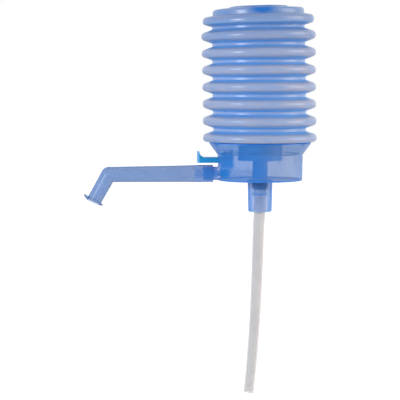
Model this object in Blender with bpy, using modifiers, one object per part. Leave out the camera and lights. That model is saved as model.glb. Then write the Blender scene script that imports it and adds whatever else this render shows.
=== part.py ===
"""Bellows hand pump for a drinking-water jug.

The pump plugs into the centre sleeve of the jug's cap. Pressing the crown folds the bellows and
drives its air through the delivery valve, down the air gap in the stem and into the jug. The
water then rises in the dip tube and runs out of the spout. When the crown rises again, air comes
in through the lever slot and the intake valve. Pressing the lever opens the vent and stops the
flow.

Frame: metres, +Z up, the spout towards -X. The origin is the centre of the flat underside, which
rests on the cap.
"""

import math

import bmesh
import bpy
from mathutils import Matrix, Vector

MM = 0.001

# Clearances
SEAT_GAP = 0.3 * MM
SLIDE_GAP = 0.4 * MM
CUT_OVERRUN = 1.0 * MM
WELD_DISTANCE = 0.01 * MM

# Facets round a full turn
WIDE_STEPS = 32
MEDIUM_STEPS = 24
SMALL_STEPS = 16
TINY_STEPS = 12

# Base cup
SHOULDER_RADIUS = 33.8 * MM
SHOULDER_HEIGHT = 20.7 * MM
FOOT_TAPER = 0.3 * MM
FOOT_ROUND = 1.0 * MM
FLARE_SPREAD = 6.5 * MM
RIM_ROUND = 0.8 * MM
BASE_WALL = 2.0 * MM
FLARE_WALL = 1.8 * MM
FLOOR_THICKNESS = 1.8 * MM
SHELF_WIDTH = 2.6 * MM
SHELF_THICKNESS = 1.6 * MM
SHELF_DROP = 0.3 * MM

# Bellows
RIB_COUNT = 8
RIB_PITCH = 13.4 * MM
CREST_OVERHANG = 4.7 * MM
RIB_DEPTH = 8.3 * MM
VALLEY_HALF_HEIGHT = 0.9 * MM
CREST_ROUND = 3.1 * MM
SKIN = 1.2 * MM
CUFF_RADIAL_WALL = 1.5 * MM
CUFF_LIFT = 1.8 * MM
NECK_HEIGHT = 4.6 * MM

# Crown
CROWN_INSET = 0.6 * MM
CROWN_HEIGHT = 4.2 * MM
CROWN_ROUND = 2.0 * MM
CROWN_WALL = 1.4 * MM
CROWN_LEDGE = 8.9 * MM
DISC_SLOPE_WIDTH = 4.8 * MM
DISC_RISE = 1.8 * MM

# Bellows ring
RING_INSET = 1.4 * MM
RING_HEIGHT = 6.3 * MM

# Riser, tube sleeve and collar under the floor
RISER_RADIUS = 6.65 * MM
RISER_HEIGHT = 15.4 * MM
SLEEVE_RADIUS = 6.3 * MM
SLEEVE_DEPTH = 12.0 * MM
SOCKET_STOP_HEIGHT = 2.3 * MM
CHAMBER_RADIUS = 3.7 * MM
CHAMBER_HEIGHT = 9.0 * MM
COLLAR_INNER_RADIUS = 7.2 * MM
COLLAR_RADIUS = 8.1 * MM
COLLAR_DEPTH = 7.0 * MM
AIR_HOLE_COUNT = 6
AIR_HOLE_RADIUS = 0.9 * MM
AIR_HOLE_CIRCLE = 7.0 * MM
AIR_HOLE_REACH = 3.0 * MM

# Stem
STEM_TOP_RADIUS = 9.85 * MM
STEM_END_RADIUS = 9.35 * MM
STEM_LENGTH = 24.9 * MM
STEM_ROUND = 1.2 * MM
STEM_SEAT_DEPTH = 0.6 * MM

# Dip tube
TUBE_TOP_RADIUS = 4.65 * MM
TUBE_END_RADIUS = 4.05 * MM
TUBE_WALL = 1.1 * MM
TUBE_SOCKET_GAP = 0.35 * MM
TUBE_SIDES_RESOLUTION = 4
TUBE_RUNS_PER_SPAN = 3
TUBE_ROUTE = [
    (0, 2.0 * MM),
    (0, -12.0 * MM),
    (-0.4 * MM, -26.0 * MM),
    (-1.0 * MM, -38.0 * MM),
    (-1.5 * MM, -52.0 * MM),
    (-2.3 * MM, -77.0 * MM),
    (-3.3 * MM, -100.0 * MM),
    (-4.6 * MM, -122.0 * MM),
    (-6.2 * MM, -144.0 * MM),
    (-7.9 * MM, -162.0 * MM),
    (-8.7 * MM, -170.0 * MM),
]

# Tube seal
TUBE_SEAL_WIDTH = 0.5 * MM
TUBE_SEAL_HEIGHT = 1.8 * MM

# Outlet stub and channel
OUTLET_HEIGHT = 5.5 * MM
STUB_RADIUS = 5.4 * MM
STUB_LENGTH = 11.2 * MM
NOSE_RADIUS = 4.3 * MM
NOSE_LENGTH = 6.8 * MM
CHANNEL_RADIUS = 3.7 * MM
CHANNEL_BORE_RADIUS = 2.3 * MM
STUB_EMBED = 1.2 * MM

# Spout
SPOUT_STANDOFF = 3.4 * MM
SPOUT_SOCKET_RADIUS = 6.65 * MM
SPOUT_SOCKET_LENGTH = 14.9 * MM
SPOUT_ARM_RADIUS = 6.35 * MM
SPOUT_ARM_LENGTH = 82.8 * MM
SPOUT_CORNER_HEIGHT = 4.6 * MM
SPOUT_END_RADIUS = 5.6 * MM
SPOUT_BORE_RADIUS = 4.2 * MM
SPOUT_SOCKET_GAP = 0.35 * MM
LEG_LENGTH = 23.2 * MM
LEG_ANGLE = math.radians(29.4)
LIP_RADIUS = 8.4 * MM
LIP_THICKNESS = 1.2 * MM
LIP_OFFSET = 0.7 * MM
LIP_SLOPE = math.radians(22.0)
LIP_BEND_START = 4.4 * MM
LIP_BEND_ANGLE = math.radians(32.0)
LIP_CELLS = 8

# Spout seal
SPOUT_SEAL_SETBACK = 3.5 * MM
SPOUT_SEAL_CORD = 0.55 * MM
SPOUT_SEAL_DEPTH = 0.85 * MM

# Valve plate
PLATE_THICKNESS = 1.6 * MM
GASKET_THICKNESS = 0.8 * MM
HOUSING_RADIUS = 17.5 * MM
HOUSING_WALL = 1.4 * MM
HOUSING_DEPTH = 5.8 * MM
DELIVERY_PORT_COUNT = 6
DELIVERY_PORT_RADIUS = 1.5 * MM
DELIVERY_PORT_CIRCLE = 8.0 * MM
CAGE_HEIGHT = 5.8 * MM
CAGE_CHAMFER = 1.2 * MM
CAGE_WINDOW_COUNT = 6
CAGE_WINDOW_RADIUS = 2.3 * MM
CAGE_WINDOW_CIRCLE = 10.0 * MM

# Valve flaps and their studs
FLAP_THICKNESS = 1.0 * MM
FLAP_LIFT = 0.8 * MM
DELIVERY_FLAP_RADIUS = 12.0 * MM
DELIVERY_STUD_RADIUS = 1.5 * MM
DELIVERY_STUD_HEAD_RADIUS = 3.2 * MM
DELIVERY_STUD_SNAP_RADIUS = 2.4 * MM
STUD_HEAD_THICKNESS = 1.2 * MM
INTAKE_FLAP_RADIUS = 4.2 * MM
INTAKE_STUD_RADIUS = 0.9 * MM
INTAKE_STUD_HEAD_RADIUS = 2.3 * MM
INTAKE_STUD_SNAP_RADIUS = 1.35 * MM
INTAKE_PORT_COUNT = 4
INTAKE_PORT_RADIUS = 0.7 * MM
INTAKE_PORT_CIRCLE = 3.0 * MM

# Lever pocket in the base, behind the slot
VENT_REACH = 4.7 * MM
POCKET_MARGIN = 3.2 * MM
POCKET_SETBACK = 0.8 * MM
POCKET_HALF_WIDTH = 6.0 * MM
POCKET_WALL = 1.4 * MM
POCKET_FLOOR = 11.4 * MM
VENT_PORT_RADIUS = 1.2 * MM

# Release lever
LEVER_HALF_WIDTH = 4.5 * MM
PIVOT_SETBACK = 1.1 * MM
LEVER_PIVOT_HEIGHT = 16.2 * MM
LEVER_BAR_BOTTOM = 14.0 * MM
LEVER_BAR_TOP = 18.4 * MM
LEVER_REACH = 16.1 * MM
LEVER_INNER_OVERHANG = 2.2 * MM
LEVER_ARM_TOP = 16.0 * MM
THUMB_THICKNESS = 1.9 * MM
THUMB_TOP = 23.2 * MM
THUMB_FILLET = 4.0 * MM
THUMB_FILLET_POINTS = 5
THUMB_ROUND = 0.6 * MM
LEVER_SLOT_BOTTOM = 12.3 * MM
LEVER_SLOT_TOP = 19.2 * MM
PIN_RADIUS = 1.2 * MM
PIN_BITE = 0.9 * MM

# Vent pad and lever spring
PAD_RADIUS = 2.4 * MM
SPRING_WIRE_RADIUS = 0.22 * MM
SPRING_RADIUS = 1.85 * MM
SPRING_TURNS = 4
SPRING_POINTS_PER_TURN = 10

# Heights worked out from the stack on the shelf
SHELF_HEIGHT = SHOULDER_HEIGHT - SHELF_DROP
GASKET_BOTTOM = SHELF_HEIGHT + SEAT_GAP
GASKET_TOP = GASKET_BOTTOM + GASKET_THICKNESS
PLATE_BOTTOM = GASKET_TOP + SEAT_GAP
PLATE_TOP = PLATE_BOTTOM + PLATE_THICKNESS

# Radii that follow the base's shoulder
FOOT_RADIUS = SHOULDER_RADIUS - FOOT_TAPER
BASE_INNER_RADIUS = SHOULDER_RADIUS - BASE_WALL
SHELF_INNER_RADIUS = BASE_INNER_RADIUS - SHELF_WIDTH
RING_BORE_RADIUS = SHELF_INNER_RADIUS + RING_INSET
RIM_RADIUS = SHOULDER_RADIUS + FLARE_SPREAD
CREST_RADIUS = RIM_RADIUS + CREST_OVERHANG
VALLEY_RADIUS = CREST_RADIUS - RIB_DEPTH
CROWN_RADIUS = VALLEY_RADIUS - CROWN_INSET
DISC_FOOT_RADIUS = CROWN_RADIUS - CROWN_LEDGE
DISC_TOP_RADIUS = DISC_FOOT_RADIUS - DISC_SLOPE_WIDTH
TUBE_SOCKET_RADIUS = TUBE_TOP_RADIUS + TUBE_SOCKET_GAP

# Distances from the axis towards the spout
STUB_END = SHOULDER_RADIUS + STUB_LENGTH
NOSE_END = STUB_END + NOSE_LENGTH
SPOUT_SEAL_PLACE = STUB_END - SPOUT_SEAL_SETBACK
SPOUT_START = SHOULDER_RADIUS + SPOUT_STANDOFF
SPOUT_CORNER = SPOUT_START + SPOUT_ARM_LENGTH
POCKET_FAR = BASE_INNER_RADIUS - POCKET_SETBACK
LEVER_PIVOT = POCKET_FAR - PIVOT_SETBACK
VENT_PLACE = LEVER_PIVOT - VENT_REACH
POCKET_NEAR = VENT_PLACE - POCKET_MARGIN
LEVER_END = SHOULDER_RADIUS + LEVER_REACH
LEVER_INNER_END = VENT_PLACE - LEVER_INNER_OVERHANG

# Heights of the ring, the rim and the bellows
RING_BOTTOM = PLATE_TOP + SEAT_GAP
RING_TOP = RING_BOTTOM + RING_HEIGHT
RIM_HEIGHT = RING_TOP + SEAT_GAP
FLARE_TOP = RIM_HEIGHT - RIM_ROUND
FLARE_SLOPE = (RIM_RADIUS - SHOULDER_RADIUS) / (FLARE_TOP - SHOULDER_HEIGHT)
FIRST_RIB_HEIGHT = RIM_HEIGHT + SEAT_GAP + CREST_ROUND
LAST_RIB_HEIGHT = FIRST_RIB_HEIGHT + (RIB_COUNT - 1) * RIB_PITCH
BELLOWS_TOP = LAST_RIB_HEIGHT + NECK_HEIGHT

# Colours (linear red, green, blue), roughness and metallic
BLUE_SKIN = ((0.20, 0.31, 0.56), 0.28, 0)
BLUE_BASE = ((0.08, 0.21, 0.58), 0.22, 0)
BLUE_SPOUT = ((0.20, 0.30, 0.54), 0.24, 0)
PALE_STEM = ((0.24, 0.36, 0.64), 0.45, 0)
TEAL_LEVER = ((0.05, 0.27, 0.50), 0.30, 0)
CLEAR_TUBE = ((0.56, 0.56, 0.58), 0.25, 0)
MILKY_INNER = ((0.16, 0.30, 0.62), 0.35, 0)
DARK_RUBBER = ((0.05, 0.05, 0.06), 0.80, 0)
WHITE_RUBBER = ((0.70, 0.72, 0.74), 0.70, 0)
BRIGHT_STEEL = ((0.60, 0.60, 0.62), 0.25, 1)


def flare_radius(height):
    """Outer radius of the base's flare at a height."""
    return SHOULDER_RADIUS + FLARE_SLOPE * (height - SHOULDER_HEIGHT)


def clear_scene():
    """Remove whatever the scene holds, so that the script can run again."""
    for item in list(bpy.data.objects):
        bpy.data.objects.remove(item, do_unlink=True)
    for group in list(bpy.data.collections):
        bpy.data.collections.remove(group)


def new_group(name):
    """Add a collection to the scene."""
    group = bpy.data.collections.new(name)
    bpy.context.scene.collection.children.link(group)
    return group


def new_finish(name, look):
    """Make a Principled material from a colour, a roughness and a metallic value."""
    colour, roughness, metallic = look
    finish = bpy.data.materials.new(name)
    finish.use_nodes = True
    shader = finish.node_tree.nodes["Principled BSDF"]
    shader.inputs["Base Color"].default_value = (*colour, 1)
    shader.inputs["Roughness"].default_value = roughness
    shader.inputs["Metallic"].default_value = metallic
    finish.diffuse_color = (*colour, 1)
    return finish


def show_as_cutter(obj):
    """Keep a cutter or a guide out of the model."""
    obj.hide_render = True
    obj.display_type = "WIRE"
    return obj


def turned(name, profile, steps, group, closed=True):
    """Turn a half-section of (radius, height) points about the object's own Z axis."""
    mesh = bpy.data.meshes.new(name)
    corners = [(radius, 0, height) for radius, height in profile]
    edges = [(index, index + 1) for index in range(len(corners) - 1)]
    if closed:
        edges.append((len(corners) - 1, 0))
    mesh.from_pydata(corners, edges, [])
    obj = bpy.data.objects.new(name, mesh)
    group.objects.link(obj)
    screw = obj.modifiers.new("Turn", "SCREW")
    screw.steps = steps
    screw.render_steps = steps
    screw.use_merge_vertices = True
    screw.merge_threshold = WELD_DISTANCE
    screw.use_smooth_shade = True
    return obj


def rod(name, start, end, start_radius, end_radius, steps, group):
    """Make a round bar or cone between two points."""
    start, end = Vector(start), Vector(end)
    along = end - start
    mesh = bpy.data.meshes.new(name)
    shape = bmesh.new()
    bmesh.ops.create_cone(
        shape,
        cap_ends=True,
        segments=steps,
        radius1=start_radius,
        radius2=end_radius,
        depth=along.length,
    )
    shape.to_mesh(mesh)
    shape.free()
    obj = bpy.data.objects.new(name, mesh)
    group.objects.link(obj)
    obj.location = (start + end) / 2
    obj.rotation_euler = along.to_track_quat("Z", "Y").to_euler()
    return obj


def block(name, low, high, group):
    """Make a box between its lowest and highest corners."""
    low, high = Vector(low), Vector(high)
    mesh = bpy.data.meshes.new(name)
    shape = bmesh.new()
    bmesh.ops.create_cube(shape, size=1)
    bmesh.ops.scale(shape, vec=high - low, verts=shape.verts)
    shape.to_mesh(mesh)
    shape.free()
    obj = bpy.data.objects.new(name, mesh)
    group.objects.link(obj)
    obj.location = (low + high) / 2
    return obj


def ball(name, centre, radius, steps, group):
    """Make a sphere."""
    mesh = bpy.data.meshes.new(name)
    shape = bmesh.new()
    bmesh.ops.create_uvsphere(shape, u_segments=steps, v_segments=steps // 2, radius=radius)
    shape.to_mesh(mesh)
    shape.free()
    obj = bpy.data.objects.new(name, mesh)
    group.objects.link(obj)
    obj.location = centre
    return obj


def combine(target, tool, operation):
    """Join a tool to the target, or cut the target with it."""
    show_as_cutter(tool)
    step = target.modifiers.new(f"{operation.title()} {tool.name}", "BOOLEAN")
    step.operation = operation
    step.solver = "EXACT"
    step.object = tool


def cut(target, tool):
    """Cut the target with a tool."""
    combine(target, tool, "DIFFERENCE")


def join(target, tool):
    """Join a tool to the target."""
    combine(target, tool, "UNION")


def to_mesh_object(curve_object, group):
    """Replace a curve object by a welded mesh object in the same place."""
    bpy.context.view_layer.update()
    graph = bpy.context.evaluated_depsgraph_get()
    mesh = bpy.data.meshes.new_from_object(curve_object.evaluated_get(graph))
    shape = bmesh.new()
    shape.from_mesh(mesh)
    bmesh.ops.remove_doubles(shape, verts=shape.verts, dist=WELD_DISTANCE)
    bmesh.ops.recalc_face_normals(shape, faces=shape.faces)
    shape.to_mesh(mesh)
    shape.free()
    name = curve_object.name
    place = curve_object.matrix_world.copy()
    bpy.data.objects.remove(curve_object, do_unlink=True)
    obj = bpy.data.objects.new(name, mesh)
    obj.matrix_world = place
    group.objects.link(obj)
    return obj


def wire(name, points, radii, resolution, group):
    """Make a round wire or hose along points, as a welded mesh."""
    curve = bpy.data.curves.new(name, "CURVE")
    curve.dimensions = "3D"
    curve.bevel_depth = 1
    curve.bevel_resolution = resolution
    curve.use_fill_caps = True
    spline = curve.splines.new("POLY")
    spline.points.add(len(points) - 1)
    for knot, point, radius in zip(spline.points, points, radii):
        knot.co = (*point, 1)
        knot.radius = radius
    obj = bpy.data.objects.new(name, curve)
    group.objects.link(obj)
    return to_mesh_object(obj, group)


def plate_outline(name, outline, half_width, group):
    """Extrude an outline of (along X, height) points to both sides of the XZ plane."""
    curve = bpy.data.curves.new(name, "CURVE")
    curve.dimensions = "2D"
    curve.fill_mode = "BOTH"
    curve.extrude = half_width
    spline = curve.splines.new("POLY")
    spline.points.add(len(outline) - 1)
    for knot, (across, height) in zip(spline.points, outline):
        knot.co = (across, height, 0, 1)
    spline.use_cyclic_u = True
    obj = bpy.data.objects.new(name, curve)
    group.objects.link(obj)
    obj.rotation_euler = (math.radians(90), 0, 0)
    return to_mesh_object(obj, group)


def shade_round(obj):
    """Shade a mesh smooth apart from its sharp edges."""
    obj.data.shade_smooth()
    obj.data.set_sharp_from_angle(angle=math.radians(35))


def finish_with(obj, finish):
    """Give a piece its material."""
    obj.data.materials.clear()
    obj.data.materials.append(finish)
    return obj


def carry(parent, child):
    """Parent a piece to another one without moving it."""
    child.parent = parent
    child.matrix_parent_inverse = Matrix.Translation(parent.location).inverted()


def round_the_axis(count, radius, phase=0):
    """Give (x, y) places evenly round the Z axis."""
    turns = [phase + math.tau * index / count for index in range(count)]
    return [(radius * math.cos(turn), radius * math.sin(turn)) for turn in turns]


def bellows_profile():
    """Half-section of the bellows skin: down its outside, then up its inside."""
    outer_angles = [math.radians(angle) for angle in (66, 33, 0, -33, -66)]
    inner_angles = [math.radians(angle) for angle in (-45, 45)]
    crest_centre = CREST_RADIUS - CREST_ROUND
    inner_round = CREST_ROUND - SKIN
    inner_valley = VALLEY_RADIUS - SKIN
    inner_valley_half = VALLEY_HALF_HEIGHT + SKIN * math.sin(math.radians(25))
    ribs = [LAST_RIB_HEIGHT - index * RIB_PITCH for index in range(RIB_COUNT)]

    outside = [(CROWN_RADIUS, BELLOWS_TOP)]
    for height in ribs:
        for angle in outer_angles:
            reach = CREST_ROUND * math.cos(angle)
            outside.append((crest_centre + reach, height + CREST_ROUND * math.sin(angle)))
        if height != ribs[-1]:
            valley = height - RIB_PITCH / 2
            outside.append((VALLEY_RADIUS, valley + VALLEY_HALF_HEIGHT))
            outside.append((VALLEY_RADIUS, valley - VALLEY_HALF_HEIGHT))
    cuff_gap = FLARE_WALL + SEAT_GAP
    cuff_top = RIM_HEIGHT + SEAT_GAP
    cuff_bottom = RING_BOTTOM + CUFF_LIFT
    outside.append((crest_centre, cuff_top))
    outside.append((flare_radius(cuff_top) - cuff_gap, cuff_top))
    outside.append((flare_radius(cuff_bottom) - cuff_gap, cuff_bottom))

    cuff_inner = cuff_gap + CUFF_RADIAL_WALL
    inside = [(flare_radius(cuff_bottom) - cuff_inner, cuff_bottom)]
    inside.append((flare_radius(RIM_HEIGHT) - cuff_inner, RIM_HEIGHT))
    inside.append((crest_centre, cuff_top + SKIN))
    for height in reversed(ribs):
        for angle in inner_angles:
            reach = inner_round * math.cos(angle)
            inside.append((crest_centre + reach, height + inner_round * math.sin(angle)))
        if height != ribs[0]:
            valley = height + RIB_PITCH / 2
            inside.append((inner_valley, valley - inner_valley_half))
            inside.append((inner_valley, valley + inner_valley_half))
    inside.append((CROWN_RADIUS - SKIN, BELLOWS_TOP))
    return outside + inside


def build_bellows(group, finish):
    """Ribbed skin with its cuff in the flared rim."""
    bellows = turned("bellows", bellows_profile(), WIDE_STEPS, group)
    return finish_with(bellows, finish)


def build_crown(group, finish):
    """Flat top that the palm presses, with its raised disc."""
    bottom = BELLOWS_TOP + SEAT_GAP
    top = bottom + CROWN_HEIGHT
    disc_top = top + DISC_RISE
    half_round = CROWN_ROUND * math.sin(math.radians(45))
    outer_round = CROWN_ROUND - half_round
    inner_radius = CROWN_RADIUS - CROWN_WALL
    inner_round = CROWN_ROUND - CROWN_WALL
    profile = [
        (0, disc_top),
        (DISC_TOP_RADIUS, disc_top),
        (DISC_FOOT_RADIUS, top),
        (CROWN_RADIUS - CROWN_ROUND, top),
        (CROWN_RADIUS - outer_round, top - outer_round),
        (CROWN_RADIUS, top - CROWN_ROUND),
        (CROWN_RADIUS, bottom),
        (inner_radius, bottom),
        (inner_radius, top - CROWN_ROUND),
        (inner_radius - inner_round, top - CROWN_WALL),
        (DISC_FOOT_RADIUS, top - CROWN_WALL),
        (DISC_TOP_RADIUS, disc_top - CROWN_WALL),
        (0, disc_top - CROWN_WALL),
    ]
    crown = turned("bellows_crown", profile, WIDE_STEPS, group, closed=False)
    return finish_with(crown, finish)


def build_bellows_ring(group, finish):
    """Ring wedged inside the cuff, which locks the bellows and holds the valve plate down."""
    inset = FLARE_WALL + SEAT_GAP + CUFF_RADIAL_WALL + SEAT_GAP
    profile = [
        (RING_BORE_RADIUS, RING_TOP),
        (flare_radius(RING_TOP) - inset, RING_TOP),
        (flare_radius(RING_BOTTOM) - inset, RING_BOTTOM),
        (RING_BORE_RADIUS, RING_BOTTOM),
    ]
    ring = turned("bellows_ring", profile, WIDE_STEPS, group)
    return finish_with(ring, finish)


def base_profile():
    """Half-section of the base: riser, floor, shelf, flare and rim, stem seat, collar and sleeve."""
    rim_inner = flare_radius(RIM_HEIGHT) - FLARE_WALL
    rim_shoulder = RIM_ROUND * (1 - math.sin(math.radians(45)))
    seal_pocket = TUBE_TOP_RADIUS + SEAT_GAP + TUBE_SEAL_WIDTH + SEAT_GAP
    seal_ceiling = TUBE_SEAL_HEIGHT + SEAT_GAP - SLEEVE_DEPTH
    stem_seat = STEM_TOP_RADIUS + SEAT_GAP
    return [
        (0, RISER_HEIGHT),
        (RISER_RADIUS, RISER_HEIGHT),
        (RISER_RADIUS, FLOOR_THICKNESS),
        (BASE_INNER_RADIUS, FLOOR_THICKNESS),
        (BASE_INNER_RADIUS, SHELF_HEIGHT - SHELF_THICKNESS - SHELF_WIDTH / 2),
        (SHELF_INNER_RADIUS, SHELF_HEIGHT - SHELF_THICKNESS),
        (SHELF_INNER_RADIUS, SHELF_HEIGHT),
        (flare_radius(SHELF_HEIGHT) - FLARE_WALL, SHELF_HEIGHT),
        (rim_inner, RIM_HEIGHT),
        (RIM_RADIUS - RIM_ROUND, RIM_HEIGHT),
        (RIM_RADIUS - rim_shoulder, RIM_HEIGHT - rim_shoulder),
        (RIM_RADIUS, FLARE_TOP),
        (SHOULDER_RADIUS, SHOULDER_HEIGHT),
        (FOOT_RADIUS, FOOT_ROUND),
        (FOOT_RADIUS - FOOT_ROUND, 0),
        (stem_seat, 0),
        (stem_seat, STEM_SEAT_DEPTH),
        (COLLAR_RADIUS, STEM_SEAT_DEPTH),
        (COLLAR_RADIUS, -COLLAR_DEPTH),
        (COLLAR_INNER_RADIUS, -COLLAR_DEPTH),
        (COLLAR_INNER_RADIUS, 0),
        (SLEEVE_RADIUS, 0),
        (SLEEVE_RADIUS, -SLEEVE_DEPTH),
        (seal_pocket, -SLEEVE_DEPTH),
        (seal_pocket, seal_ceiling),
        (TUBE_SOCKET_RADIUS, seal_ceiling),
        (TUBE_SOCKET_RADIUS, SOCKET_STOP_HEIGHT),
        (CHAMBER_RADIUS, SOCKET_STOP_HEIGHT),
        (CHAMBER_RADIUS, CHAMBER_HEIGHT),
        (0, CHAMBER_HEIGHT),
    ]


def add_outlet(base, tools):
    """Outlet stub with its nose outside the wall, and the channel inside it."""
    wall = SHOULDER_RADIUS - STUB_EMBED
    height = OUTLET_HEIGHT
    join(base, rod("stub", (-wall, 0, height), (-STUB_END, 0, height),
                   STUB_RADIUS, STUB_RADIUS, MEDIUM_STEPS, tools))
    join(base, rod("nose", (CUT_OVERRUN - STUB_END, 0, height), (-NOSE_END, 0, height),
                   NOSE_RADIUS, NOSE_RADIUS, MEDIUM_STEPS, tools))
    join(base, rod("channel", (-RISER_RADIUS + STUB_EMBED, 0, height), (SEAT_GAP - wall, 0, height),
                   CHANNEL_RADIUS, CHANNEL_RADIUS, SMALL_STEPS, tools))
    bore = rod("channel_bore", (0, 0, height), (-NOSE_END - CUT_OVERRUN, 0, height),
               CHANNEL_BORE_RADIUS, CHANNEL_BORE_RADIUS, SMALL_STEPS, tools)
    cut(base, bore)
    groove_half = SPOUT_SEAL_CORD + SEAT_GAP
    groove = turned(
        "seal_groove",
        [
            (STUB_RADIUS + CUT_OVERRUN, groove_half),
            (STUB_RADIUS + CUT_OVERRUN, -groove_half),
            (STUB_RADIUS - SPOUT_SEAL_DEPTH - SEAT_GAP, -groove_half),
            (STUB_RADIUS - SPOUT_SEAL_DEPTH - SEAT_GAP, groove_half),
        ],
        MEDIUM_STEPS,
        tools,
    )
    groove.location = (-SPOUT_SEAL_PLACE, 0, height)
    groove.rotation_euler = (0, math.radians(90), 0)
    cut(base, groove)


def add_lever_pocket(base, tools):
    """Closed pocket behind the slot, with pin notches and the vent port in its floor."""
    outer_half = POCKET_HALF_WIDTH + POCKET_WALL
    wall = BASE_INNER_RADIUS + STUB_EMBED
    near = POCKET_NEAR - POCKET_WALL
    under = POCKET_FLOOR - POCKET_WALL
    rim_far = math.sqrt(SHELF_INNER_RADIUS**2 - outer_half**2)
    rim_foot = SHELF_HEIGHT - SHELF_THICKNESS / 2
    join(base, block("pocket_box", (-wall, -outer_half, under),
                     (-near, outer_half, SHELF_HEIGHT - SHELF_DROP), tools))
    join(base, block("pocket_rim", (-rim_far, -outer_half, rim_foot),
                     (-near, outer_half, PLATE_BOTTOM - SEAT_GAP), tools))
    cut(base, block("pocket_room", (-POCKET_FAR, -POCKET_HALF_WIDTH, POCKET_FLOOR),
                    (-POCKET_NEAR, POCKET_HALF_WIDTH, PLATE_BOTTOM + CUT_OVERRUN), tools))
    slot_half = LEVER_HALF_WIDTH + SLIDE_GAP
    cut(base, block("lever_slot", (-SHOULDER_RADIUS - CUT_OVERRUN, -slot_half, LEVER_SLOT_BOTTOM),
                    (-POCKET_FAR + CUT_OVERRUN, slot_half, LEVER_SLOT_TOP), tools))
    notch_half = PIN_RADIUS + SEAT_GAP
    notch_reach = POCKET_HALF_WIDTH + PIN_BITE + SEAT_GAP
    cut(base, block("pin_notches", (-LEVER_PIVOT - notch_half, -notch_reach, LEVER_PIVOT_HEIGHT - notch_half),
                    (-LEVER_PIVOT + notch_half, notch_reach, PLATE_BOTTOM + CUT_OVERRUN), tools))
    cut(base, rod("vent_port", (-VENT_PLACE, 0, under - CUT_OVERRUN / 2),
                  (-VENT_PLACE, 0, POCKET_FLOOR + CUT_OVERRUN),
                  VENT_PORT_RADIUS, VENT_PORT_RADIUS, TINY_STEPS, tools))


def build_base_cup(group, tools, finish):
    """Base moulding: cup, riser, channel, outlet stub and lever pocket."""
    base = turned("base_cup", base_profile(), WIDE_STEPS, group, closed=False)
    add_lever_pocket(base, tools)
    add_outlet(base, tools)
    for index, (x, y) in enumerate(round_the_axis(AIR_HOLE_COUNT, AIR_HOLE_CIRCLE, math.radians(30))):
        cut(base, rod(f"air_hole_{index}", (x, y, -CUT_OVERRUN), (x, y, AIR_HOLE_REACH),
                      AIR_HOLE_RADIUS, AIR_HOLE_RADIUS, TINY_STEPS, tools))
    return finish_with(base, finish)


def build_stem(group, finish):
    """Tapered plug for the jug cap's sleeve, pushed over the base's collar into its seat."""
    bore = COLLAR_RADIUS + SEAT_GAP
    end_bore = STEM_END_RADIUS - STEM_TOP_RADIUS + bore
    top = STEM_SEAT_DEPTH - SEAT_GAP
    shoulder = STEM_ROUND * (1 - math.sin(math.radians(45)))
    profile = [
        (bore, top),
        (STEM_TOP_RADIUS, top),
        (STEM_END_RADIUS, STEM_ROUND - STEM_LENGTH),
        (STEM_END_RADIUS - shoulder, shoulder - STEM_LENGTH),
        (STEM_END_RADIUS - STEM_ROUND, -STEM_LENGTH),
        (end_bore, -STEM_LENGTH),
        (bore, -COLLAR_DEPTH - STEM_ROUND),
    ]
    stem = turned("stem", profile, WIDE_STEPS, group)
    return finish_with(stem, finish)


def build_valve_plate(group, tools, finish):
    """Disc between bellows and lower chamber, with ports and the valve housing below it."""
    edge = flare_radius(PLATE_BOTTOM) - FLARE_WALL - SEAT_GAP
    hole = DELIVERY_STUD_RADIUS + SEAT_GAP
    skirt = PLATE_BOTTOM - HOUSING_DEPTH
    profile = [
        (hole, PLATE_TOP),
        (edge, PLATE_TOP),
        (edge, PLATE_BOTTOM),
        (HOUSING_RADIUS, PLATE_BOTTOM),
        (HOUSING_RADIUS, skirt),
        (HOUSING_RADIUS - HOUSING_WALL, skirt),
        (HOUSING_RADIUS - HOUSING_WALL, PLATE_BOTTOM),
        (hole, PLATE_BOTTOM),
    ]
    plate = turned("valve_plate", profile, WIDE_STEPS, group)
    low, high = PLATE_BOTTOM - CUT_OVERRUN, PLATE_TOP + CUT_OVERRUN
    ports = [(x, y, DELIVERY_PORT_RADIUS) for x, y in round_the_axis(DELIVERY_PORT_COUNT, DELIVERY_PORT_CIRCLE)]
    for x, y in round_the_axis(INTAKE_PORT_COUNT, INTAKE_PORT_CIRCLE, math.radians(45)):
        ports.append((x - VENT_PLACE, y, INTAKE_PORT_RADIUS))
    ports.append((-VENT_PLACE, 0, INTAKE_STUD_RADIUS + SEAT_GAP))
    for index, (x, y, radius) in enumerate(ports):
        cut(plate, rod(f"plate_port_{index}", (x, y, low), (x, y, high), radius, radius, TINY_STEPS, tools))
    return finish_with(plate, finish)


def build_gasket(group, finish):
    """Flat ring between the base's shelf and the valve plate."""
    inner = SHELF_INNER_RADIUS + SEAT_GAP
    outer = flare_radius(GASKET_BOTTOM) - FLARE_WALL - SEAT_GAP
    profile = [
        (inner, GASKET_TOP),
        (outer, GASKET_TOP),
        (outer, GASKET_BOTTOM),
        (inner, GASKET_BOTTOM),
    ]
    gasket = turned("valve_plate_gasket", profile, WIDE_STEPS, group)
    return finish_with(gasket, finish)


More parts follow.
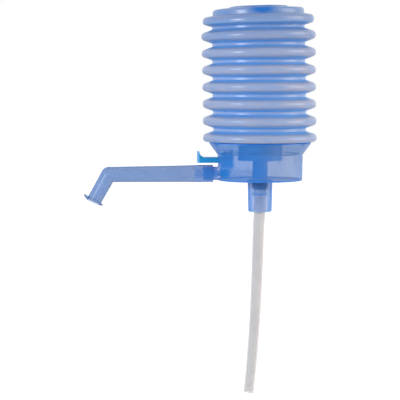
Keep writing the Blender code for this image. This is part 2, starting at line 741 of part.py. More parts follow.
def build_valve_cage(group, tools, finish):
    """Guard over the delivery ports, standing on the valve plate."""
    bottom = PLATE_TOP + SEAT_GAP
    top = bottom + CAGE_HEIGHT
    inner = HOUSING_RADIUS - HOUSING_WALL
    profile = [
        (0, top),
        (HOUSING_RADIUS - CAGE_CHAMFER, top),
        (HOUSING_RADIUS, top - CAGE_CHAMFER),
        (HOUSING_RADIUS, bottom),
        (inner, bottom),
        (inner, top - HOUSING_WALL),
        (0, top - HOUSING_WALL),
    ]
    cage = turned("valve_cage", profile, WIDE_STEPS, group, closed=False)
    for index, (x, y) in enumerate(round_the_axis(CAGE_WINDOW_COUNT, CAGE_WINDOW_CIRCLE)):
        cut(cage, rod(f"cage_window_{index}", (x, y, top - HOUSING_WALL - CUT_OVERRUN),
                      (x, y, top + CUT_OVERRUN), CAGE_WINDOW_RADIUS, CAGE_WINDOW_RADIUS, TINY_STEPS, tools))
    return finish_with(cage, finish)


def build_flap(name, radius, stud_radius, centre, group, finish):
    """Round rubber flap with a hole for its stud, about its own centre."""
    half = FLAP_THICKNESS / 2
    hole = stud_radius + SLIDE_GAP
    profile = [(hole, half), (radius, half), (radius, -half), (hole, -half)]
    flap = turned(name, profile, MEDIUM_STEPS, group)
    flap.location = centre
    return finish_with(flap, finish)


def build_stud(name, head_radius, radius, snap_radius, reach, snap_start, group, finish):
    """Stud with its head up at the origin: shaft down, then the snap end under the plate."""
    snap_end = snap_start + STUD_HEAD_THICKNESS
    profile = [
        (0, STUD_HEAD_THICKNESS),
        (head_radius - SEAT_GAP, STUD_HEAD_THICKNESS),
        (head_radius, STUD_HEAD_THICKNESS - SEAT_GAP),
        (head_radius, 0),
        (radius, 0),
        (radius, -snap_start),
        (snap_radius, -snap_start),
        (radius, -snap_end),
        (0, -snap_end),
    ]
    stud = turned(name, profile, SMALL_STEPS, group, closed=False)
    stud.location = reach
    return finish_with(stud, finish)


def build_valves(group, tools, rubber, plastic):
    """Delivery valve below the plate and intake valve above it, each with its stud."""
    flap_drop = SEAT_GAP + FLAP_THICKNESS / 2
    delivery = build_flap("delivery_valve", DELIVERY_FLAP_RADIUS, DELIVERY_STUD_RADIUS,
                          (0, 0, PLATE_BOTTOM - flap_drop), group, rubber)
    intake = build_flap("intake_valve", INTAKE_FLAP_RADIUS, INTAKE_STUD_RADIUS,
                        (-VENT_PLACE, 0, PLATE_TOP + flap_drop), group, rubber)
    head_gap = SEAT_GAP + FLAP_THICKNESS + FLAP_LIFT + SEAT_GAP
    snap_start = head_gap + PLATE_THICKNESS + SEAT_GAP
    delivery_stud = build_stud("delivery_stud", DELIVERY_STUD_HEAD_RADIUS, DELIVERY_STUD_RADIUS,
                               DELIVERY_STUD_SNAP_RADIUS, (0, 0, PLATE_BOTTOM - head_gap),
                               snap_start, group, plastic)
    delivery_stud.rotation_euler = (math.radians(180), 0, 0)
    build_stud("intake_stud", INTAKE_STUD_HEAD_RADIUS, INTAKE_STUD_RADIUS, INTAKE_STUD_SNAP_RADIUS,
               (-VENT_PLACE, 0, PLATE_TOP + head_gap), snap_start, group, plastic)
    return delivery, intake


def lever_outline():
    """Side outline of the lever, about its pivot."""
    step = -VENT_PLACE - SPRING_RADIUS - SPRING_WIRE_RADIUS - SLIDE_GAP
    corners = [
        (-LEVER_INNER_END, LEVER_BAR_BOTTOM),
        (-LEVER_INNER_END, LEVER_ARM_TOP),
        (step, LEVER_ARM_TOP),
        (step, LEVER_BAR_TOP),
    ]
    inner_face = -LEVER_END + THUMB_THICKNESS
    centre = (inner_face + THUMB_FILLET, LEVER_BAR_TOP + THUMB_FILLET)
    for index in range(THUMB_FILLET_POINTS):
        angle = math.radians(270) - math.radians(90) * index / (THUMB_FILLET_POINTS - 1)
        corners.append((centre[0] + THUMB_FILLET * math.cos(angle), centre[1] + THUMB_FILLET * math.sin(angle)))
    corners += [
        (inner_face, THUMB_TOP - THUMB_ROUND),
        (inner_face - THUMB_ROUND, THUMB_TOP),
        (-LEVER_END + THUMB_ROUND, THUMB_TOP),
        (-LEVER_END, THUMB_TOP - THUMB_ROUND),
        (-LEVER_END, LEVER_BAR_BOTTOM + THUMB_ROUND),
        (-LEVER_END + THUMB_ROUND, LEVER_BAR_BOTTOM),
    ]
    return [(across + LEVER_PIVOT, height - LEVER_PIVOT_HEIGHT) for across, height in corners]


def build_lever(group, tools, finish, pad_finish):
    """Release lever through the slot, and the vent pad under its inner end."""
    lever = plate_outline("release_lever", lever_outline(), LEVER_HALF_WIDTH, group)
    lever.data.transform(lever.matrix_world)
    lever.matrix_world = Matrix.Translation((-LEVER_PIVOT, 0, LEVER_PIVOT_HEIGHT))
    hole = PIN_RADIUS + SEAT_GAP
    reach = LEVER_HALF_WIDTH + CUT_OVERRUN
    cut(lever, rod("pin_hole", (-LEVER_PIVOT, -reach, LEVER_PIVOT_HEIGHT),
                   (-LEVER_PIVOT, reach, LEVER_PIVOT_HEIGHT), hole, hole, SMALL_STEPS, tools))
    finish_with(lever, finish)

    pad_bottom = POCKET_FLOOR + SEAT_GAP
    pad_top = LEVER_BAR_BOTTOM - SEAT_GAP
    pad = rod("vent_pad", (-VENT_PLACE, 0, pad_bottom), (-VENT_PLACE, 0, pad_top),
              PAD_RADIUS, PAD_RADIUS, SMALL_STEPS, group)
    shade_round(pad)
    finish_with(pad, pad_finish)
    carry(lever, pad)
    return lever


def build_lever_pin(group, finish):
    """Pin across the pocket, its ends in the notches."""
    reach = POCKET_HALF_WIDTH + PIN_BITE
    pin = rod("lever_pin", (-LEVER_PIVOT, -reach, LEVER_PIVOT_HEIGHT), (-LEVER_PIVOT, reach, LEVER_PIVOT_HEIGHT),
              PIN_RADIUS, PIN_RADIUS, SMALL_STEPS, group)
    shade_round(pin)
    return finish_with(pin, finish)


def spring_points():
    """Points along the lever spring, from its seat on the arm up to the plate."""
    low = LEVER_ARM_TOP + SEAT_GAP + SPRING_WIRE_RADIUS
    high = PLATE_BOTTOM - SEAT_GAP - SPRING_WIRE_RADIUS
    count = SPRING_TURNS * SPRING_POINTS_PER_TURN
    points = []
    for index in range(count + 1):
        turn = math.tau * index / SPRING_POINTS_PER_TURN
        x = SPRING_RADIUS * math.cos(turn) - VENT_PLACE
        y = SPRING_RADIUS * math.sin(turn)
        points.append((x, y, low + (high - low) * index / count))
    return points


def build_spring(group, finish):
    """Coil spring that holds the vent pad down."""
    points = spring_points()
    pitch = (points[-1][2] - points[0][2]) / SPRING_TURNS
    least_gap = pitch - 2 * SPRING_WIRE_RADIUS
    print(f"lever spring: least gap between turns {least_gap / MM:.2f} mm")
    spring = wire("lever_spring", points, [SPRING_WIRE_RADIUS] * len(points), 1, group)
    shade_round(spring)
    return finish_with(spring, finish)


def lip_solid(name, centre, tools):
    """Drip lip: a round plate in a sloping plane, its front edge turned up."""
    mesh = bpy.data.meshes.new(name)
    shape = bmesh.new()
    bmesh.ops.create_grid(shape, x_segments=LIP_CELLS, y_segments=LIP_CELLS, size=LIP_RADIUS)
    for point in shape.verts:
        across, side = point.co.x / LIP_RADIUS, point.co.y / LIP_RADIUS
        point.co.x = LIP_RADIUS * across * math.sqrt(1 - side * side / 2)
        point.co.y = LIP_RADIUS * side * math.sqrt(1 - across * across / 2)
        bent = max(0, point.co.x + LIP_OFFSET - LIP_BEND_START)
        point.co.z = bent * math.tan(LIP_BEND_ANGLE)
    shape.to_mesh(mesh)
    shape.free()
    lip = bpy.data.objects.new(name, mesh)
    tools.objects.link(lip)
    solidify = lip.modifiers.new("Thickness", "SOLIDIFY")
    solidify.thickness = LIP_THICKNESS
    solidify.offset = 0
    front = Vector((-math.cos(LIP_SLOPE), 0, math.sin(LIP_SLOPE)))
    up = Vector((math.sin(LIP_SLOPE), 0, math.cos(LIP_SLOPE)))
    side = up.cross(front)
    turn = Matrix((front, side, up)).transposed().to_4x4()
    lip.matrix_world = Matrix.Translation(centre + front * LIP_OFFSET) @ turn
    return lip


def build_spout(group, tools, finish):
    """Long arm, elbow and short leg with the drip lip, bored through."""
    start = Vector((-SPOUT_START, 0, OUTLET_HEIGHT))
    corner = Vector((-SPOUT_CORNER, 0, SPOUT_CORNER_HEIGHT))
    leg = Vector((-math.sin(LEG_ANGLE), 0, -math.cos(LEG_ANGLE)))
    mouth = corner + leg * LEG_LENGTH
    lip_centre = mouth + leg * (LIP_THICKNESS / 2)
    socket_end = start + (corner - start).normalized() * SPOUT_SOCKET_LENGTH

    spout = rod("spout", start, corner, SPOUT_ARM_RADIUS, SPOUT_END_RADIUS, MEDIUM_STEPS, group)
    place = spout.matrix_basis.copy()
    spout.data.transform(Matrix.Translation(-start) @ place)
    spout.rotation_euler = (0, 0, 0)
    spout.location = start
    join(spout, rod("socket_sleeve", start, socket_end, SPOUT_SOCKET_RADIUS,
                    SPOUT_SOCKET_RADIUS, MEDIUM_STEPS, tools))
    join(spout, ball("elbow", corner, SPOUT_END_RADIUS + WELD_DISTANCE, MEDIUM_STEPS, tools))
    join(spout, rod("leg", corner, mouth + leg * (LIP_THICKNESS / 2), SPOUT_END_RADIUS,
                    SPOUT_END_RADIUS, MEDIUM_STEPS, tools))
    join(spout, lip_solid("drip_lip", lip_centre, tools))

    socket = STUB_RADIUS + SPOUT_SOCKET_GAP
    nose = NOSE_RADIUS + SPOUT_SOCKET_GAP
    height = OUTLET_HEIGHT
    cut(spout, rod("socket", (CUT_OVERRUN - SPOUT_START, 0, height), (-STUB_END - SEAT_GAP, 0, height),
                   socket, socket, MEDIUM_STEPS, tools))
    cut(spout, rod("nose_socket", (-STUB_END, 0, height), (-NOSE_END - SEAT_GAP, 0, height),
                   nose, nose, MEDIUM_STEPS, tools))
    cut(spout, rod("arm_bore", (-NOSE_END, 0, height), corner, SPOUT_BORE_RADIUS,
                   SPOUT_BORE_RADIUS, SMALL_STEPS, tools))
    cut(spout, ball("elbow_bore", corner, SPOUT_BORE_RADIUS + WELD_DISTANCE, SMALL_STEPS, tools))
    cut(spout, rod("leg_bore", corner, mouth + leg * SPOUT_END_RADIUS, SPOUT_BORE_RADIUS,
                   SPOUT_BORE_RADIUS, SMALL_STEPS, tools))
    shade_round(spout)
    return finish_with(spout, finish)


def build_spout_seal(group, finish):
    """Ring in the stub's groove."""
    ring_radius = STUB_RADIUS + SPOUT_SOCKET_GAP - SEAT_GAP - SPOUT_SEAL_CORD
    corners = [math.tau * index / SMALL_STEPS for index in range(0, SMALL_STEPS, 2)]
    profile = [
        (ring_radius + SPOUT_SEAL_CORD * math.cos(turn), -SPOUT_SEAL_CORD * math.sin(turn))
        for turn in corners
    ]
    seal = turned("spout_seal", profile, MEDIUM_STEPS, group)
    seal.location = (-SPOUT_SEAL_PLACE, 0, OUTLET_HEIGHT)
    seal.rotation_euler = (0, math.radians(90), 0)
    return finish_with(seal, finish)


def smooth_route(knots, runs):
    """Read points off a smooth curve through the knots."""
    ends = [knots[0] * 2 - knots[1]] + knots + [knots[-1] * 2 - knots[-2]]
    points = [knots[0]]
    for before, start, end, after in zip(ends, ends[1:], ends[2:], ends[3:]):
        for run in range(1, runs + 1):
            share = run / runs
            lean_out = (end - before) / 2
            lean_in = (after - start) / 2
            bend = (start - end) * 2 + lean_out + lean_in
            pull = (end - start) * 3 - lean_out * 2 - lean_in
            points.append(start + lean_out * share + pull * share**2 + bend * share**3)
    return points


def build_dip_tube(group, tools, finish):
    """Clear hose from the riser's socket down into the jug."""
    knots = [Vector((x, 0, z)) for x, z in TUBE_ROUTE]
    points = smooth_route(knots, TUBE_RUNS_PER_SPAN)
    lengths = [(b - a).length for a, b in zip(points, points[1:])]
    total = sum(lengths)
    travelled = [sum(lengths[:index]) / total for index in range(len(points))]
    narrowing = TUBE_TOP_RADIUS - TUBE_END_RADIUS
    radii = [TUBE_TOP_RADIUS - narrowing * share for share in travelled]
    print(f"dip tube: centreline {total / MM:.1f} mm")
    tube = wire("dip_tube", points, radii, TUBE_SIDES_RESOLUTION, group)
    over_top = points[0] + (points[0] - points[1]).normalized() * CUT_OVERRUN
    past_end = points[-1] + (points[-1] - points[-2]).normalized() * CUT_OVERRUN
    bore_radii = [radii[0] - TUBE_WALL] + [radius - TUBE_WALL for radius in radii] + [radii[-1] - TUBE_WALL]
    bore = wire("dip_tube_bore", [over_top] + points + [past_end], bore_radii, 2, tools)
    cut(tube, bore)
    shade_round(tube)
    return finish_with(tube, finish)


def build_tube_seal(group, finish):
    """Ring round the dip tube, in the mouth of its sleeve."""
    inner = TUBE_TOP_RADIUS + SEAT_GAP
    outer = inner + TUBE_SEAL_WIDTH
    bottom = -SLEEVE_DEPTH
    top = bottom + TUBE_SEAL_HEIGHT
    profile = [(inner, top), (outer, top), (outer, bottom), (inner, bottom)]
    seal = turned("tube_seal", profile, MEDIUM_STEPS, group)
    return finish_with(seal, finish)


def main():
    """Build the pump."""
    clear_scene()
    group = new_group("jug_hand_pump")
    tools = new_group("cutters")
    blue_skin = new_finish("blue_skin", BLUE_SKIN)
    blue_base = new_finish("blue_base", BLUE_BASE)
    inner_plastic = new_finish("inner_plastic", MILKY_INNER)
    dark_rubber = new_finish("dark_rubber", DARK_RUBBER)
    white_rubber = new_finish("white_rubber", WHITE_RUBBER)
    steel = new_finish("steel", BRIGHT_STEEL)

    build_bellows(group, blue_skin)
    build_crown(group, blue_skin)
    build_bellows_ring(group, inner_plastic)
    build_base_cup(group, tools, blue_base)
    build_stem(group, new_finish("pale_stem", PALE_STEM))
    build_valve_plate(group, tools, inner_plastic)
    build_gasket(group, dark_rubber)
    build_valve_cage(group, tools, inner_plastic)
    build_valves(group, tools, white_rubber, inner_plastic)
    build_lever(group, tools, new_finish("teal_lever", TEAL_LEVER), dark_rubber)
    build_lever_pin(group, steel)
    build_spring(group, steel)
    build_spout(group, tools, new_finish("blue_spout", BLUE_SPOUT))
    build_spout_seal(group, dark_rubber)
    build_dip_tube(group, tools, new_finish("clear_tube", CLEAR_TUBE))
    build_tube_seal(group, dark_rubber)


main()
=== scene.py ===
"""Looks of the water jug hand pump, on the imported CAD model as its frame.

Each sub-assembly is a class that holds its own sizes, makes its meshes in the frame's metres and
dresses them. Each finish is a small class that writes one procedural material.
"""

import logging
import math
from dataclasses import dataclass
from enum import Enum
from typing import Any, Callable, Iterable, Mapping, Sequence, Union

import bmesh
import bpy
from mathutils import Matrix, Vector

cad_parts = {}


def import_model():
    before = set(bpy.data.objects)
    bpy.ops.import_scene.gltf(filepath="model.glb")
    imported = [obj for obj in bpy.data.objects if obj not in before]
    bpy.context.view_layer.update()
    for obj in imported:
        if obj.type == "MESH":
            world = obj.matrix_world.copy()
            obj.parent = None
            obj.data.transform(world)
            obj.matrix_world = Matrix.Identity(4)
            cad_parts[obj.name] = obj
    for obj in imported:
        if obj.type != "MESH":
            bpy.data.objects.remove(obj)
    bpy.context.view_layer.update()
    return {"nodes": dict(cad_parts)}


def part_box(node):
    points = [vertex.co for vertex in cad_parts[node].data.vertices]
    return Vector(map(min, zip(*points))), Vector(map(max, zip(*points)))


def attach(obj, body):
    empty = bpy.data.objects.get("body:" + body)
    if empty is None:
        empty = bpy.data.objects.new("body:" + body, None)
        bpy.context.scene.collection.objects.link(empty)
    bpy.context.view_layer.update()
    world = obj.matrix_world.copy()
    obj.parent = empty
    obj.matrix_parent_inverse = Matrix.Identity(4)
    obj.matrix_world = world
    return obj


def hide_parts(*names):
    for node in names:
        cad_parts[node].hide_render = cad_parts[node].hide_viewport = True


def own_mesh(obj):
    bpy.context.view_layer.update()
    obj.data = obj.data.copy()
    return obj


MM = 0.001
LOG = logging.getLogger("jug_pump")

Colour = tuple[float, float, float]
Bend = Callable[[Vector], Vector]
Number = Union[float, "Value"]


class Body(Enum):
    """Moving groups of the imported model."""

    ROOT = "root"
    CROWN = "crown"
    LEVER = "lever"
    SPOUT = "spout"


class Slot(Enum):
    """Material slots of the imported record."""

    BASE = "base_plastic"
    BELLOWS = "bellows_plastic"
    SPOUT = "spout_plastic"
    STEM = "stem_plastic"
    LEVER = "lever_plastic"
    TUBE = "tube_plastic"


class Cutting(Enum):
    """Ways in which one solid works on another."""

    JOIN = "UNION"
    CUT = "DIFFERENCE"


class Value:
    """A number that varies over a surface: one output socket of a material's nodes."""

    def __init__(self, recipe: "Recipe", socket: bpy.types.NodeSocket) -> None:
        """Wrap a socket.

        Args:
            recipe: The material that the socket belongs to.
            socket: The output socket.
        """
        self.recipe = recipe
        self.socket = socket

    def _maths(self, operation: str, first: Number, second: Number) -> "Value":
        """Add one Math node.

        Args:
            operation: The node's operation.
            first: The upper input.
            second: The lower input.

        Returns:
            The node's result.
        """
        return self.recipe.node("ShaderNodeMath", {"operation": operation}, {0: first, 1: second})

    def __add__(self, other: Number) -> "Value":
        """Sum of two values."""
        return self._maths("ADD", self, other)

    __radd__ = __add__

    def __sub__(self, other: Number) -> "Value":
        """Difference of two values."""
        return self._maths("SUBTRACT", self, other)

    def __rsub__(self, other: Number) -> "Value":
        """Difference of two values, the other way round."""
        return self._maths("SUBTRACT", other, self)

    def __mul__(self, other: Number) -> "Value":
        """Product of two values."""
        return self._maths("MULTIPLY", self, other)

    __rmul__ = __mul__

    def __abs__(self) -> "Value":
        """Size of a value without its sign."""
        return self._maths("ABSOLUTE", self, 0.0)


class Recipe:
    """Writes the nodes of one material, or of the world."""

    def __init__(self, name: str, world: bool = False) -> None:
        """Start it empty.

        Args:
            name: The material's or world's name.
            world: Whether it is a world.
        """
        self.owner = (bpy.data.worlds if world else bpy.data.materials).new(name)
        self.owner.use_nodes = True
        self.tree = self.owner.node_tree
        self.tree.nodes.clear()

    def node(
        self,
        kind: str,
        settings: Mapping[str, Any] | None = None,
        inputs: Mapping[str | int, Any] | None = None,
        output: str | int = 0,
    ) -> Value:
        """Add a node, set it up and feed it.

        Args:
            kind: The node's type name.
            settings: The node's own settings, which are set first.
            inputs: Numbers, tuples or Values by socket name or place.
            output: The socket to hand back.

        Returns:
            The chosen output.
        """
        made = self.tree.nodes.new(kind)
        for key, setting in (settings or {}).items():
            setattr(made, key, setting)
        for key, given in (inputs or {}).items():
            socket = made.inputs[key]
            if isinstance(given, Value):
                self.tree.links.new(given.socket, socket)
            elif isinstance(given, tuple) and len(given) == 3 and socket.type == "RGBA":
                socket.default_value = (*given, 1.0)
            else:
                socket.default_value = given
        return Value(self, made.outputs[output])

    def place(self) -> Value:
        """Give the point on the piece, in metres in the piece's own frame."""
        return self.node("ShaderNodeTexCoord", output="Object")

    def axes(self) -> tuple[Value, Value, Value]:
        """Give the point's three coordinates as single values."""
        split = self.node("ShaderNodeSeparateXYZ", inputs={0: self.place()})
        parts = split.socket.node.outputs
        return tuple(Value(self, parts[index]) for index in range(3))

    def mark(self, name: str) -> Value:
        """Give a number that the mesh carries at its points.

        Args:
            name: The attribute's name.

        Returns:
            The attribute's value.
        """
        return self.node("ShaderNodeAttribute", {"attribute_name": name}, output="Fac")

    def vector(self, operation: str, *vectors: Any) -> Value:
        """Add one Vector Math node.

        Args:
            operation: The node's operation.
            vectors: Its inputs.

        Returns:
            The node's vector, or its number where it measures.
        """
        output = "Value" if operation in ("LENGTH", "DOT_PRODUCT") else 0
        return self.node("ShaderNodeVectorMath", {"operation": operation}, dict(enumerate(vectors)), output)

    def grain(self, scale: float, detail: float = 2.0, stretch: Colour = (1.0, 1.0, 1.0)) -> Value:
        """Give a soft random pattern from 0 to 1.

        Args:
            scale: Grains per metre.
            detail: Octaves of the noise.
            stretch: How much finer the pattern is along each axis.

        Returns:
            The pattern's height.
        """
        where = self.vector("MULTIPLY", self.place(), stretch)
        settings = {"Vector": where, "Scale": scale, "Detail": detail, "Roughness": 0.5}
        return self.node("ShaderNodeTexNoise", {"noise_dimensions": "3D"}, settings)

    def ease(self, value: Value, low: float, high: float) -> Value:
        """Give 0 below one value and 1 above another, eased in between.

        Args:
            value: What is measured.
            low: Where the result is 0.
            high: Where the result is 1.

        Returns:
            The eased share.
        """
        return self.node(
            "ShaderNodeMapRange",
            {"interpolation_type": "SMOOTHSTEP"},
            {"Value": value, "From Min": low, "From Max": high, "To Min": 0.0, "To Max": 1.0},
        )

    def mix(self, share: Number, first: Any, second: Any) -> Value:
        """Mix two colours.

        Args:
            share: How much of the second colour shows.
            first: The colour at 0.
            second: The colour at 1.

        Returns:
            The mixed colour.
        """
        return self.node(
            "ShaderNodeMix",
            {"data_type": "RGBA", "clamp_factor": True},
            {0: share, 6: first, 7: second},
            output=2,
        )

    def facing(self) -> Value:
        """Give 0 where the surface faces the eye and 1 where it is seen along itself."""
        return self.node("ShaderNodeLayerWeight", {}, {"Blend": 0.5}, "Facing")

    def bump(self, height: Value, depth: float) -> Value:
        """Turn a height pattern into a surface normal.

        Args:
            height: The pattern.
            depth: How deep the pattern is, in metres.

        Returns:
            The normal.
        """
        return self.node(
            "ShaderNodeBump", {}, {"Height": height, "Strength": 1.0, "Distance": depth}, "Normal"
        )

    def principled(self, inputs: Mapping[str, Any]) -> bpy.types.Material:
        """Close the material with a Principled shader.

        Args:
            inputs: The shader's numbers, colours and links.

        Returns:
            The finished material.
        """
        return self.close(self.node("ShaderNodeBsdfPrincipled", {}, inputs), "ShaderNodeOutputMaterial")

    def close(self, shader: Value, kind: str) -> Any:
        """Link a shader to the output.

        Args:
            shader: The shader.
            kind: The output node's type name.

        Returns:
            The finished material or world.
        """
        self.tree.links.new(shader.socket, self.tree.nodes.new(kind).inputs["Surface"])
        return self.owner


@dataclass(frozen=True)
class Zone:
    """Part of a turned moulding, between two radii and two heights, that is thicker or thinner, or that
    carries painted shade.
    """

    inner: float
    outer: float
    low: float
    high: float
    solidness: float | None = None
    tint: Colour | None = None
    beyond: float | None = None
    soft: float = 0.3 * MM

    def share(self, recipe: Recipe, radius: Value, height: Value, along: Value) -> Value:
        """Give 1 in the zone and 0 outside it.

        Args:
            recipe: The material in the making.
            radius: The distance from the axis.
            height: The height.
            along: The place along the spout's direction.

        Returns:
            The eased share.
        """
        inside = 1.0 - recipe.ease(radius, self.outer - self.soft, self.outer)
        if self.inner:
            inside = inside * recipe.ease(radius, self.inner, self.inner + self.soft)
        if self.beyond is not None:
            inside = inside * (1.0 - recipe.ease(along, self.beyond - self.soft, self.beyond))
        above = recipe.ease(height, self.low, self.low + self.soft)
        return inside * above * (1.0 - recipe.ease(height, self.high - self.soft, self.high))


@dataclass(frozen=True)
class MouldedPlastic:
    """Tinted plastic from an injection mould, more or less see-through.

    The tint gathers softly in clouds, and the skin has the faint orange peel of a polished tool.
    """

    name: str
    pale: Colour
    deep: Colour
    roughness: float
    solidness: float = 1.0
    edge_solidness: float = 1.0
    edge_from: float = 0.45
    edge_to: float = 1.0
    gloss: float = 0.5
    peel: float = 0.02 * MM
    cloud_size: float = 18.0 * MM
    zones: tuple[Zone, ...] = ()
    flare_height: float = 0.0
    flare_slope: float = 0.0

    def build(self) -> bpy.types.Material:
        """Write the material."""
        recipe = Recipe(self.name)
        cloud = recipe.grain(1 / self.cloud_size, 3.0)
        fine = recipe.grain(1 / (1.1 * MM), 2.0)
        tint = recipe.mix(recipe.ease(cloud, 0.3, 0.7), self.pale, self.deep)
        solidness = self._wall(recipe) if self.solidness < 1 else 1.0
        if self.zones:
            section = self._section(recipe)
            for zone in self.zones:
                share = zone.share(recipe, *section)
                if zone.solidness is not None:
                    solidness = solidness + (zone.solidness - solidness) * share
                if zone.tint:
                    tint = recipe.mix(share, tint, zone.tint)
        return recipe.principled({
            "Base Color": tint,
            "Roughness": self.roughness + 0.06 * (cloud - 0.5) + 0.03 * (fine - 0.5),
            "Alpha": solidness,
            "Specular IOR Level": self.gloss,
            "Normal": recipe.bump(fine, self.peel),
        })

    def _wall(self, recipe: Recipe) -> Value:
        """Give how far the clear wall hides what lies behind it, which is more along the wall.

        Args:
            recipe: The material in the making.

        Returns:
            The wall's solidness.
        """
        along = recipe.ease(recipe.facing(), self.edge_from, self.edge_to)
        return self.solidness + (self.edge_solidness - self.solidness) * along

    def _section(self, recipe: Recipe) -> tuple[Value, Value, Value]:
        """Give the place in the half-section, with a flared wall folded upright.

        Args:
            recipe: The material in the making.

        Returns:
            The radius, the height and the place along the spout's direction.
        """
        radius = recipe.vector("LENGTH", recipe.vector("MULTIPLY", recipe.place(), (1.0, 1.0, 0.0)))
        along, _, height = recipe.axes()
        if self.flare_slope:
            over = height - self.flare_height
            radius = radius - 0.5 * self.flare_slope * (over + abs(over))
        return radius, height, along


@dataclass(frozen=True)
class PipePlastic(MouldedPlastic):
    """Moulded plastic of a bent pipe, whose clear bore doesn't hide anything more."""

    corner: tuple[float, float, float] = (0.0, 0.0, 0.0)
    arm: tuple[float, float, float] = (-1.0, 0.0, 0.0)
    leg: tuple[float, float, float] = (0.0, 0.0, -1.0)
    bore_solidness: float = 0.04
    arm_limits: tuple[float, float] = (5.0 * MM, 6.1 * MM)
    arm_places: tuple[float, float] = (-120.0 * MM, -46.0 * MM)

    def _wall(self, recipe: Recipe) -> Value:
        """Give the wall's solidness, with the bore left clear.

        Args:
            recipe: The material in the making.

        Returns:
            The pipe's solidness.
        """
        thin = super()._wall(recipe)
        along, _, height = recipe.axes()
        limit = recipe.node("ShaderNodeMapRange", {}, {
            "Value": along,
            "From Min": self.arm_places[0],
            "From Max": self.arm_places[1],
            "To Min": self.arm_limits[0],
            "To Max": self.arm_limits[1],
        })
        soft = 0.2 * MM
        offset = recipe.vector("SUBTRACT", recipe.place(), self.corner)
        bore = recipe.ease(self.arm_limits[0] - recipe.vector("LENGTH", offset), -soft, soft)
        for line, bound, side in ((self.arm, limit, -1.0), (self.leg, self.arm_limits[0], 1.0)):
            square = recipe.vector("CROSS_PRODUCT", offset, line)
            near = recipe.ease(bound - recipe.vector("LENGTH", square), -soft, soft)
            past = recipe.ease(side * recipe.vector("DOT_PRODUCT", offset, line), -soft, soft)
            bore = bore + (1.0 - bore) * near * past
        return thin + (self.bore_solidness - thin) * bore


@dataclass(frozen=True)
class BellowsPlastic:
    """Blown milky plastic: pale crests and deep blue creases, partly from the wall's thickness and partly
    painted sheen and painted shade, with a painted highlight on the creases' floors, a patch of painted shade
    on the crown, and darker towards the crown.
    """

    name: str = "blown_bellows_plastic"
    crest: Colour = (0.290, 0.340, 0.510)
    cool_crest: Colour = (0.215, 0.318, 0.560)
    floor: Colour = (0.255, 0.370, 0.620)
    crease: Colour = (0.125, 0.385, 0.780)
    deeper_blue: Colour = (0.100, 0.200, 0.450)
    crown_tint_share: float = 0.62
    crown_tint_from: float = 84.0 * MM
    crown_tint_to: float = 136.0 * MM
    crown_shade: Colour = (0.002, 0.135, 0.500)
    crown_shade_half_width: float = 18.0 * MM
    crown_shade_height: float = 129.0 * MM
    crown_shade_inner: float = 10.0 * MM
    crown_shade_outer: float = 21.0 * MM
    crown_shade_taper: float = 0.15
    crown_shade_ragged: float = 5.0 * MM
    crown_shade_rise: float = 4.5 * MM
    crown_shade_strength: float = 1.5

    def build(self) -> bpy.types.Material:
        """Write the material."""
        recipe = Recipe(self.name)
        across, deep, height = recipe.axes()
        fold = recipe.mark("fold")
        cloud = recipe.grain(1 / (26.0 * MM), 3.0, (1.0, 1.0, 0.6))
        drawn = recipe.grain(1 / (5.0 * MM), 3.0, (0.35, 0.35, 2.6))
        fine = recipe.grain(1 / (0.9 * MM), 2.0)

        # Painted light: the fold mark makes the crests pale, partly thin wall and partly painted sheen, and
        # the creases deep blue, partly thicker wall and partly painted shade; the floor mark paints a
        # highlight on the creases' floors.
        uneven = fold + 0.16 * (cloud - 0.5) + 0.14 * (drawn - 0.5)
        crest = recipe.mix(recipe.ease(0.6 * drawn + 0.4 * cloud, 0.38, 0.66), self.crest, self.cool_crest)
        colour = recipe.mix(recipe.ease(uneven, 0.22, 0.98), crest, self.crease)
        colour = recipe.mix(recipe.mark("floor"), colour, self.floor)
        # Darker blue towards the crown, less so in the creases.
        towards_crown = recipe.ease(height, self.crown_tint_from, self.crown_tint_to) * (1.0 - 0.6 * fold)
        colour = recipe.mix(self.crown_tint_share * towards_crown, colour, self.deeper_blue)
        # Painted shade: a ragged darker blue patch on the crown's top near its front and back.
        narrowing = self.crown_shade_taper * (abs(deep) - self.crown_shade_outer)
        off_crown_shade = abs(across) + self.crown_shade_ragged * (drawn - 0.5) + narrowing
        near_crown_shade = 1.0 - recipe.ease(off_crown_shade, 0.0, self.crown_shade_half_width)
        high = recipe.ease(height, self.crown_shade_height, self.crown_shade_height + self.crown_shade_rise)
        rim = recipe.ease(abs(deep), self.crown_shade_inner, self.crown_shade_outer)
        colour = recipe.mix(near_crown_shade * high * rim * self.crown_shade_strength, colour, self.crown_shade)
        return recipe.principled({
            "Base Color": colour,
            "Roughness": 0.29 + 0.10 * (cloud - 0.5) + 0.05 * (fine - 0.5),
            "Specular IOR Level": 0.38,
            "Normal": recipe.bump(0.7 * drawn + 0.3 * fine, 0.09 * MM),
        })


